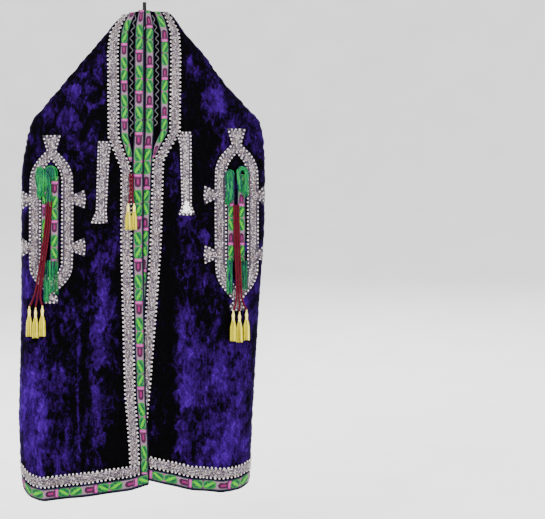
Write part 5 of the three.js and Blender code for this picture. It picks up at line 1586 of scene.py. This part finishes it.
def tassel_head(heap, top, axes, size, head):
    """The knot, the round head and the collar under it, and what fills the skirt in the darker yellow of
    painted shade.
    """
    neck, bulb, waist, skirt, head_at, waist_at, length = size
    bound = head == TASSEL_RED
    radius, foot = (neck * 2.0, head_at * 0.66) if bound else (neck, head_at * 0.44)
    knot = [(radius * 0.6, 0), *wrapped(radius, 0.6, foot - 0.2, 0.25), (radius * 0.6, foot)]
    ball = [(neck * 0.8, head_at * 0.40), (bulb * 0.72, head_at * 0.55), (bulb * 0.97, head_at * 0.8),
            (bulb, head_at), (bulb * 0.93, head_at * 1.2), (waist * 1.02, waist_at * 0.84)]
    collar = [(waist * 0.9, waist_at * 0.76), *wrapped(waist * 1.14, waist_at * 0.8, waist_at * 1.08),
              (waist * 0.9, waist_at * 1.12)]
    core = [(waist * 0.9, waist_at), (waist * 1.2, waist_at * 1.15), (skirt * 0.70, length * 0.5),
            (skirt * 0.74, length * 0.93), (skirt * 0.2, length * 0.94)]
    turned(heap, top, axes, knot, head)
    turned(heap, top, axes, ball, TASSEL_CREAM if bound else head)
    turned(heap, top, axes, collar, TASSEL_CREAM)
    # The core is painted shade inside the skirt.
    turned(heap, top, axes, core, TASSEL_SHADE_YELLOW, 10)


def tassel_skirt(heap, top, axes, size, strands):
    """Strands that spread from the waist and end a little unevenly."""
    across, out, down = axes
    run = np.linspace(0, 1, 7)
    open_at = 0.86 * smoothstep(run, -0.06, 0.36) + 0.14 * run
    for index in range(strands):
        share = 0.80 + 0.24 * math.sqrt(((index * 11) % strands + 0.5) / strands)
        end = size.length * (0.955 + 0.045 * RNG.random())
        depth = size.waist_at + (end - size.waist_at) * run
        radius = size.waist + (size.skirt - size.waist) * share * open_at
        swing = index * GOLDEN_TURN + 0.10 * RNG.normal() + 0.12 * run * RNG.normal()
        ways = np.cos(swing)[:, None] * across + np.sin(swing)[:, None] * out
        line = top + depth[:, None] * down + ways * radius[:, None]
        tube(heap, line, np.linspace(0.8, 1.1, 7)[:, None], STRAND_LOOKS[index % 7], 4)


def make_tassel(name, kind, top, foot, head=TASSEL_CREAM, strands=70):
    """A tassel whose axis runs from the end of its cord towards a place below it."""
    heap = Heap()
    down = unit(foot - top)
    across = unit(np.cross(down, (0.0, 1.0, 0.0)))
    axes = across, np.cross(across, down), down
    tassel_head(heap, top, axes, TASSELS[kind], head)
    tassel_skirt(heap, top, axes, TASSELS[kind], strands)
    return heap.build(f"{name}_floss", TASSEL_LOOKS, "yellow_tassel", name)


CORD_SIDES, PATH_POINTS = 15, 24


def hang_cord(name, node, slot, line, radius, look, hung=(), plies=3, pitch=15.0, step=1.7):
    """A limp cord of twisted plies along a line; the pieces that hang from it are not used."""
    run = distances(line)
    at = np.linspace(0, run[-1], int(run[-1] / step) + 1)[:, None]
    line, turn = along(line, run, at[:, 0]), turns(CORD_SIDES)
    lobes = np.abs(np.cos(plies / 2 * (turn - at / pitch * TAU / plies)))
    heap = Heap()
    tube(heap, line, radius * (0.80 + 0.20 * lobes), 0, CORD_SIDES,
         uv=np.stack(np.broadcast_arrays(turn * radius - at * 0.8, at), -1))
    piece = heap.build(name, [look], slot, node)


def tasselled_cord(name, tassel_name, kind, cloth, top, foot, apart):
    """A cord that hangs over the trims with a tassel at its end, kept close to its neighbours."""
    size = TASSELS[kind]
    top_lift, foot_lift = TOP + SEAM + CORD_RADIUS, size.skirt + TOP + LIE
    share = np.linspace(0, 1, 60)
    x = top[0] + (foot[0] - top[0] - apart) * share ** 1.4 + apart * share ** 16
    z = top[1] + (foot[1] - top[1]) * share
    lift = top_lift + (foot_lift - top_lift) * smoothstep(share, 0.15, 0.7)
    line = evened(cloth.over(x, z, lift), 2)
    start = line[-1] - [0, 0, TASSEL_GAP]
    below = cloth.point_over(foot[0], foot[1] - size.length, foot_lift)
    tassel = make_tassel(tassel_name, kind, start, np.array([start[0], *below[1:]]))
    hang_cord(f"{name}_twist", name, "red_cord", line, CORD_RADIUS, RED, [tassel])


CORD_TOPS = {"pocket_left": (-5, -62), "pocket_right": (-3, -92)}
CORD_FEET = {"pocket_left": [(-62, -378), (-42, -382), (-22, -376)],
             "pocket_right": [(-15, -410), (4, -414), (23, -408)]}


def pocket_cords(pocket):
    """Three cords side by side from one place in a pocket, with a tassel each."""
    name, x, z = pocket["name"], pocket["x"], pocket["z"]
    top_x, top_z = CORD_TOPS[name]
    for index, (foot_x, foot_z) in enumerate(CORD_FEET[name]):
        beside = (index - 1) * (2 * CORD_RADIUS + SEAM)
        apart = foot_x - CORD_FEET[name][1][0] - beside
        tasselled_cord(f"{name}_cord_{index + 1}", f"{name}_tassel_{index + 1}", "pocket", pocket["cloth"],
                       (x + top_x + beside, z + top_z), (x + foot_x, z + foot_z), apart)


# Cords at the neck: top, foot, how far the feet are pushed apart.
NECK_CORDS = [((-44, -538), (-49, -628), -5.5), ((-37, -538), (-31, -628), 5.5)]

for pocket in POCKETS:
    pocket_pieces[pocket["name"]] += pocket_floss(pocket)
    pocket_cords(pocket)
for index, ends in enumerate(NECK_CORDS):
    tasselled_cord(f"neck_cord_{index + 1}", f"neck_tassel_{index + 1}", "neck", LEFT, *ends)


# ---------- false sleeves ----------
# As they lie on the back: x and z of the side nearer the middle and of the outer side, thickness.
SLEEVE_LEFT = np.array([
    (-128, -205, -298, -382, 7), (-124, -300, -294, -440, 13), (-118, -420, -284, -530, 16),
    (-104, -560, -268, -640, 16), (-85, -680, -246, -768, 15), (-60, -800, -209, -917, 14),
    (-33, -926, -160, -1060, 13), (-12, -1034, -124, -1170, 12), (2, -1130, -96, -1255, 11),
    (6, -1200, -78, -1305, 10), (-10, -1300, -55, -1352, 9), (-25, -1376, -42, -1384, 8),
], float)
SLEEVE_RIGHT = np.array([
    (126, -195, 300, -375, 7), (122, -300, 292, -450, 13), (118, -430, 282, -545, 16),
    (112, -560, 270, -650, 16), (99, -670, 258, -760, 15), (84, -780, 243, -880, 14),
    (68, -880, 222, -990, 13), (52, -1000, 198, -1095, 12), (46, -1100, 168, -1185, 11),
    (50, -1190, 143, -1260, 10), (68, -1290, 117, -1325, 9), (84, -1356, 101, -1362, 8),
], float)
SLEEVE_LIE, SLEEVE_TOP_LIE = 1.6, 0.6
# Creases along a sleeve: share across, how far they drift, half width as a share, out.
SLEEVE_CREASES = [(0.22, 0.10, 0.13, 2.6), (0.45, -0.08, 0.10, -2.2), (0.62, 0.12, 0.12, 2.4),
                  (0.84, -0.06, 0.09, -1.8)]
SLEEVE_ROWS, SLEEVE_SIDES, SLEEVE_WALL = 210, 56, 1.4


def sleeve_relief(across, run, width, seed):
    """Creases, the gathers at the shoulder and small bumps on the outer face of a false sleeve."""
    creases = 0
    for place, drift, half, out in SLEEVE_CREASES:
        creases = creases + out * hump((across - place - drift * np.sin(run * 5 + place * 9 + seed)) / half)
    fade = smoothstep(run, 0.02, 0.2) * (1 - 0.6 * smoothstep(run, 0.8, 1))
    gathers = 2.2 * np.sin(across * width / 3.1 + 2 * np.sin(across * 9)) * np.exp(-run / 0.035)
    return creases * fade + gathers + 0.88 * lattice_noise(across * width, run * 1200, 26, seed)


def false_sleeve(name, table, seed):
    """A flat empty sleeve, sewn in at its top and tapering to its tied end."""
    at = np.linspace(0, len(table) - 1, SLEEVE_ROWS)
    row = along(table, np.arange(len(table)), at)
    for _ in range(24):
        row = evened(row, 2)
    near_x, near_z, far_x, far_z, thick = row.T[..., None]
    width = np.hypot(far_x - near_x, far_z - near_z)
    gap = np.interp(at, [0, 0.6], [SLEEVE_TOP_LIE, SLEEVE_LIE])[:, None]
    run, turn = np.linspace(0, 1, SLEEVE_ROWS)[:, None], turns(SLEEVE_SIDES)

    def loops(inset):
        across = 0.5 + 0.5 * spow(np.cos(turn), 0.7) * (1 - 2 * inset / width)
        rise = 0.5 + 0.5 * spow(np.sin(turn), 0.6)
        outer = np.clip(np.sin(turn), 0, 1) ** 0.5
        lift = gap + inset + (thick - 2 * inset) * rise + outer * sleeve_relief(across, run, width, seed)
        x, z = near_x + (far_x - near_x) * across, near_z + (far_z - near_z) * across
        return REAR.over(x, z, np.maximum(lift, gap + inset))

    return velvet_piece(f"velvet_{name}", name, BACK, loops(0.0), loops(SLEEVE_WALL), SLEEVE_PAINTED_LIGHT, True)


sleeve_left = false_sleeve("false_sleeve_left", SLEEVE_LEFT, 2)
sleeve_right = false_sleeve("false_sleeve_right", SLEEVE_RIGHT, 5)


# ---------- the tie of the false sleeves ----------
BRAID_LIFT, BRAID_THICK = 15, 3
BRAID_FACE = BRAID_LIFT + BRAID_THICK
BRAID_WIDTH, BRAID_TOP_WIDTH = 28, 20
BACK_BRAIDS = [("back_braid_left", (14, -1192), (-23, -1386)),
               ("back_braid_right", (47, -1196), (91, -1366))]
PLAIT_LOOKS = [
    thread_look("plait_red", (0.055, 0.0015, 0.006), (0.02, 0.0006, 0.003), 0.5),
    thread_look("plait_green", (0.010, 0.085, 0.034), (0.004, 0.034, 0.018), 0.45),
    thread_look("plait_straw", (0.46, 0.40, 0.015), (0.22, 0.18, 0.006), 0.42),
    thread_look("plait_black", (0.006, 0.006, 0.007), (0.002, 0.002, 0.003), 0.5),
]


# Cords along a plait's edges: how far in, how far under its face, radius, look, sides, flatness.
PLAIT_CORDS = [(4.6, 1.1, 1.9, 1, 8, 0.7), (1.4, 1.5, 1.3, 0, 7, 0.8)]
# Chevrons in turn: look, half width, how far they stand out.
CHEVRONS = [(2, 1.9, 1.5), (3, 3.2, 1.0), (1, 2.0, 1.2), (3, 3.2, 1.0)]
CHEVRON_PITCH, CHEVRON_TALL = 4.6, 10.5


class Plait(Band):
    """A strip that hangs straight over the back and widens towards its foot."""

    def __init__(self, top, foot):
        self.top, self.foot = np.array(top, float), np.array(foot, float)
        self.length = float(np.linalg.norm(self.foot - self.top))
        self.way = unit(self.foot - self.top)

    def at(self, w, l, lift=0.0):
        w, l, lift = np.broadcast_arrays(np.asarray(w, float), np.asarray(l, float), lift)
        w = w * (BRAID_TOP_WIDTH + (BRAID_WIDTH - BRAID_TOP_WIDTH) * l / self.length) / BRAID_WIDTH
        x, z = self.top[0] + self.way[0] * l, self.top[1] + self.way[1] * l
        points = np.stack([x + self.way[1] * w, REAR.over(x, z)[..., 1] + lift, z - self.way[0] * w], -1)
        return points, np.broadcast_to([0.0, 1.0, 0.0], points.shape)


def back_braid(name, band):
    """A flat plait: a dark red edge, green cords inside it and chevrons that point down."""
    heap = Heap()
    strip(heap, band, BRAID_WIDTH - 1, 0, band.length, BRAID_LIFT, BRAID_THICK - 1.2, 0, 6, 0.25)
    bow = np.linspace(math.pi, 0, 24)
    for inset, under, radius, look, sides, flat in PLAIT_CORDS:
        out = BRAID_WIDTH / 2 - inset
        for side in (-1, 1):
            line, _ = band.at(side * out, np.linspace(1, band.length - 1, 60), BRAID_FACE - under)
            tube(heap, line, radius, look, sides, flat)
        line, _ = band.at(out * np.cos(bow), 1 - 0.62 * out * np.sin(bow), BRAID_FACE - 1.3)
        tube(heap, line, radius, look, 8, 0.75)
    reach = BRAID_WIDTH / 2 - 6.4
    for index, l in enumerate(np.arange(0, band.length - 12, CHEVRON_PITCH)):
        look, half, rise = CHEVRONS[index % 4]
        for side in (-1, 1):
            arm = stroke((side * reach, l), (side * 0.4, l + CHEVRON_TALL), half)
            patch(heap, band, arm, BRAID_FACE - 1.4, rise + 0.15 * side, look, side * 0.8)
    heap.build(f"{name}_plait", PLAIT_LOOKS, "silk_braid", name)


def large_tassels(band, first):
    """Two tassels side by side at the foot of a plait."""
    size, lean = TASSELS["large"], band.way[0] / band.way[1]
    y = band.at(0, band.length)[0][1] + BRAID_LIFT + BRAID_THICK / 2
    for number, sign in enumerate((-1, 1), first):
        beside = sign * (size.skirt + 0.4)
        x, z = band.foot[0] + beside, band.foot[1] - beside * lean - TASSEL_GAP - abs(lean) * size.neck
        below = REAR.point_over(x, z - size.length, size.skirt + BRAID_THICK + TOP + LIE)
        make_tassel(f"back_tassel_{number}", "large", np.array([x, y, z]), np.array([x, *below[1:]]),
                    strands=84)


def small_tassel(name, x, z, on_braid, lean, head):
    """A small tassel that hangs on a plait or beside the pendant cord."""
    size = TASSELS["small"]
    lift, foot_lift = BRAID_LIFT, BRAID_LIFT
    if on_braid:
        lift, foot_lift = BRAID_FACE + size.bulb, BRAID_FACE + BRAID_THICK + size.skirt
    top, below = REAR.point_over(x, z, lift), REAR.point_over(x + lean, z - size.length, foot_lift)
    make_tassel(name, "small", top, np.array([top[0] + lean, *below[1:]]), head, 44)


for number, (name, top, foot) in enumerate(BACK_BRAIDS):
    band = Plait(top, foot)
    back_braid(name, band)
    large_tassels(band, 2 * number + 1)

# Small tassels: x, z, whether on a plait, how far they lean, what binds the head.
SMALL_TASSELS = [(9, -1232, True, 0, TASSEL_RED), (53, -1234, True, 0, TASSEL_RED),
                 (20, -1278, False, -9, TASSEL_SILVER), (18.4, -1334, False, -9, TASSEL_CREAM)]
for index, row in enumerate(SMALL_TASSELS):
    small_tassel(f"small_tassel_{index + 1}", *row)

KNOT_X, KNOT_Z, KNOT_RADIUS = 30.6, -1198, 7.2


DOWNWARD = np.array([(1.0, 0, 0), (0, 1.0, 0), (0, 0, -1.0)])  # across, out and down


def tie_knot():
    """A tight ball of grey cord wound round itself."""
    heap = Heap()
    centre = REAR.point_over(KNOT_X, KNOT_Z, BRAID_LIFT)
    shape = np.array([0.9, 0.55, 1.3]) * KNOT_RADIUS
    turn = np.linspace(0, TAU, 260)
    wind = np.stack([np.cos(7 * turn) * np.cos(turn), np.sin(7 * turn), np.cos(7 * turn) * np.sin(turn)], -1)
    tube(heap, centre + unit(wind) * (shape - 1.1), 1.35, 0, 6)
    _, deep, tall = shape
    core = [(deep * 0.5, 0), (deep * 0.85, tall * 0.4), (deep * 0.9, tall * 0.8), (deep * 0.85, tall * 1.2),
            (deep * 0.5, tall * 1.6)]
    turned(heap, centre + [0, 0, tall * 0.8], DOWNWARD, core, 0, 10)
    heap.build("tie_knot_wound", [GREY], "grey_cord", "tie_knot")


PENDANT_RADIUS, CORAL_RADIUS = 1.6, 4.2
PENDANT_CORD = [(31, -1207.8), (28, -1245), (24, -1285), (22, -1325), (22, -1357), (24, -1384)]
CORAL_CORD = [(24, -1385), (20, -1412), (14, -1438), (17, -1457), (32, -1466), (52, -1463)]


def line_over_back(route):
    """A smooth line through places on the back, as far from it as the plaits are."""
    run = distances(route)
    line = along(np.array(route, float), run, np.linspace(0, run[-1], 90))
    for _ in range(7):
        line = evened(line, 2)
    return evened(REAR.over(*line.T, float(BRAID_LIFT)), 1)


BEAD_PROFILE = [(1.2, 0), (3.6, 1.2), (5.6, 3.6), (6.2, 6.2), (5.7, 8.8), (3.8, 11.0), (1.2, 12.2)]


def pendant_bead():
    """The silver bead between the pendant cord and the coral one."""
    heap = Heap()
    turned(heap, line_over_back(CORAL_CORD)[0] + [0, 0, 6], DOWNWARD, BEAD_PROFILE, 0, 16)
    return heap.build("pendant_bead", [SILVER], "bead_braid")


tie_knot()
hang_cord("pendant_twist", "pendant_cord", "grey_cord", line_over_back(PENDANT_CORD), PENDANT_RADIUS, GREY,
          [pendant_bead()], plies=2, pitch=9, step=1.3)
hang_cord("coral_twist", "coral_cord", "coral_cord", line_over_back(CORAL_CORD), CORAL_RADIUS, CORAL,
          plies=2, pitch=16, step=1.3)


# ---------- hanger, hem binding and piping ----------
PIPING = thread_look("piping", (0.0016, 0.0014, 0.008), (0.0008, 0.0008, 0.003), 0.7, 0.0012, 0.05)
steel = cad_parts["hanger"]
steel.data.materials.clear()
steel.data.materials.append(STEEL)


BINDING_TALL, BINDING_RADIUS = 4.4, 1.5


def hem_line(cloth):
    """The middle of the rolled binding along a hem."""
    band = hem_band(cloth, 0, BINDING_TALL)
    return band.at(0.0, np.linspace(2, band.length - 2, 260), 0.4)[0]


def front_edge_line(cloth):
    """The line of the binding along a front edge."""
    z = np.linspace(edge_top(cloth, EDGE, RIBBON) - 2, hem_at(cloth, 6, 0), 300)
    x = column(cloth.edges, EDGE, z) + (0.8 if cloth is LEFT else -0.8)
    return cloth.over(x, z, 0.2)


def piping(label, cloth):
    """The rolled binding along a panel's hem and front edge."""
    heap = Heap()
    for line in [hem_line(cloth)] + ([] if cloth is REAR else [front_edge_line(cloth)]):
        tube(heap, line, BINDING_RADIUS, 0, 8)
    heap.build(f"hem_binding_{label}", [PIPING], "velvet")


for label, cloth in (("left", LEFT), ("right", RIGHT), ("back", REAR)):
    piping(label, cloth)
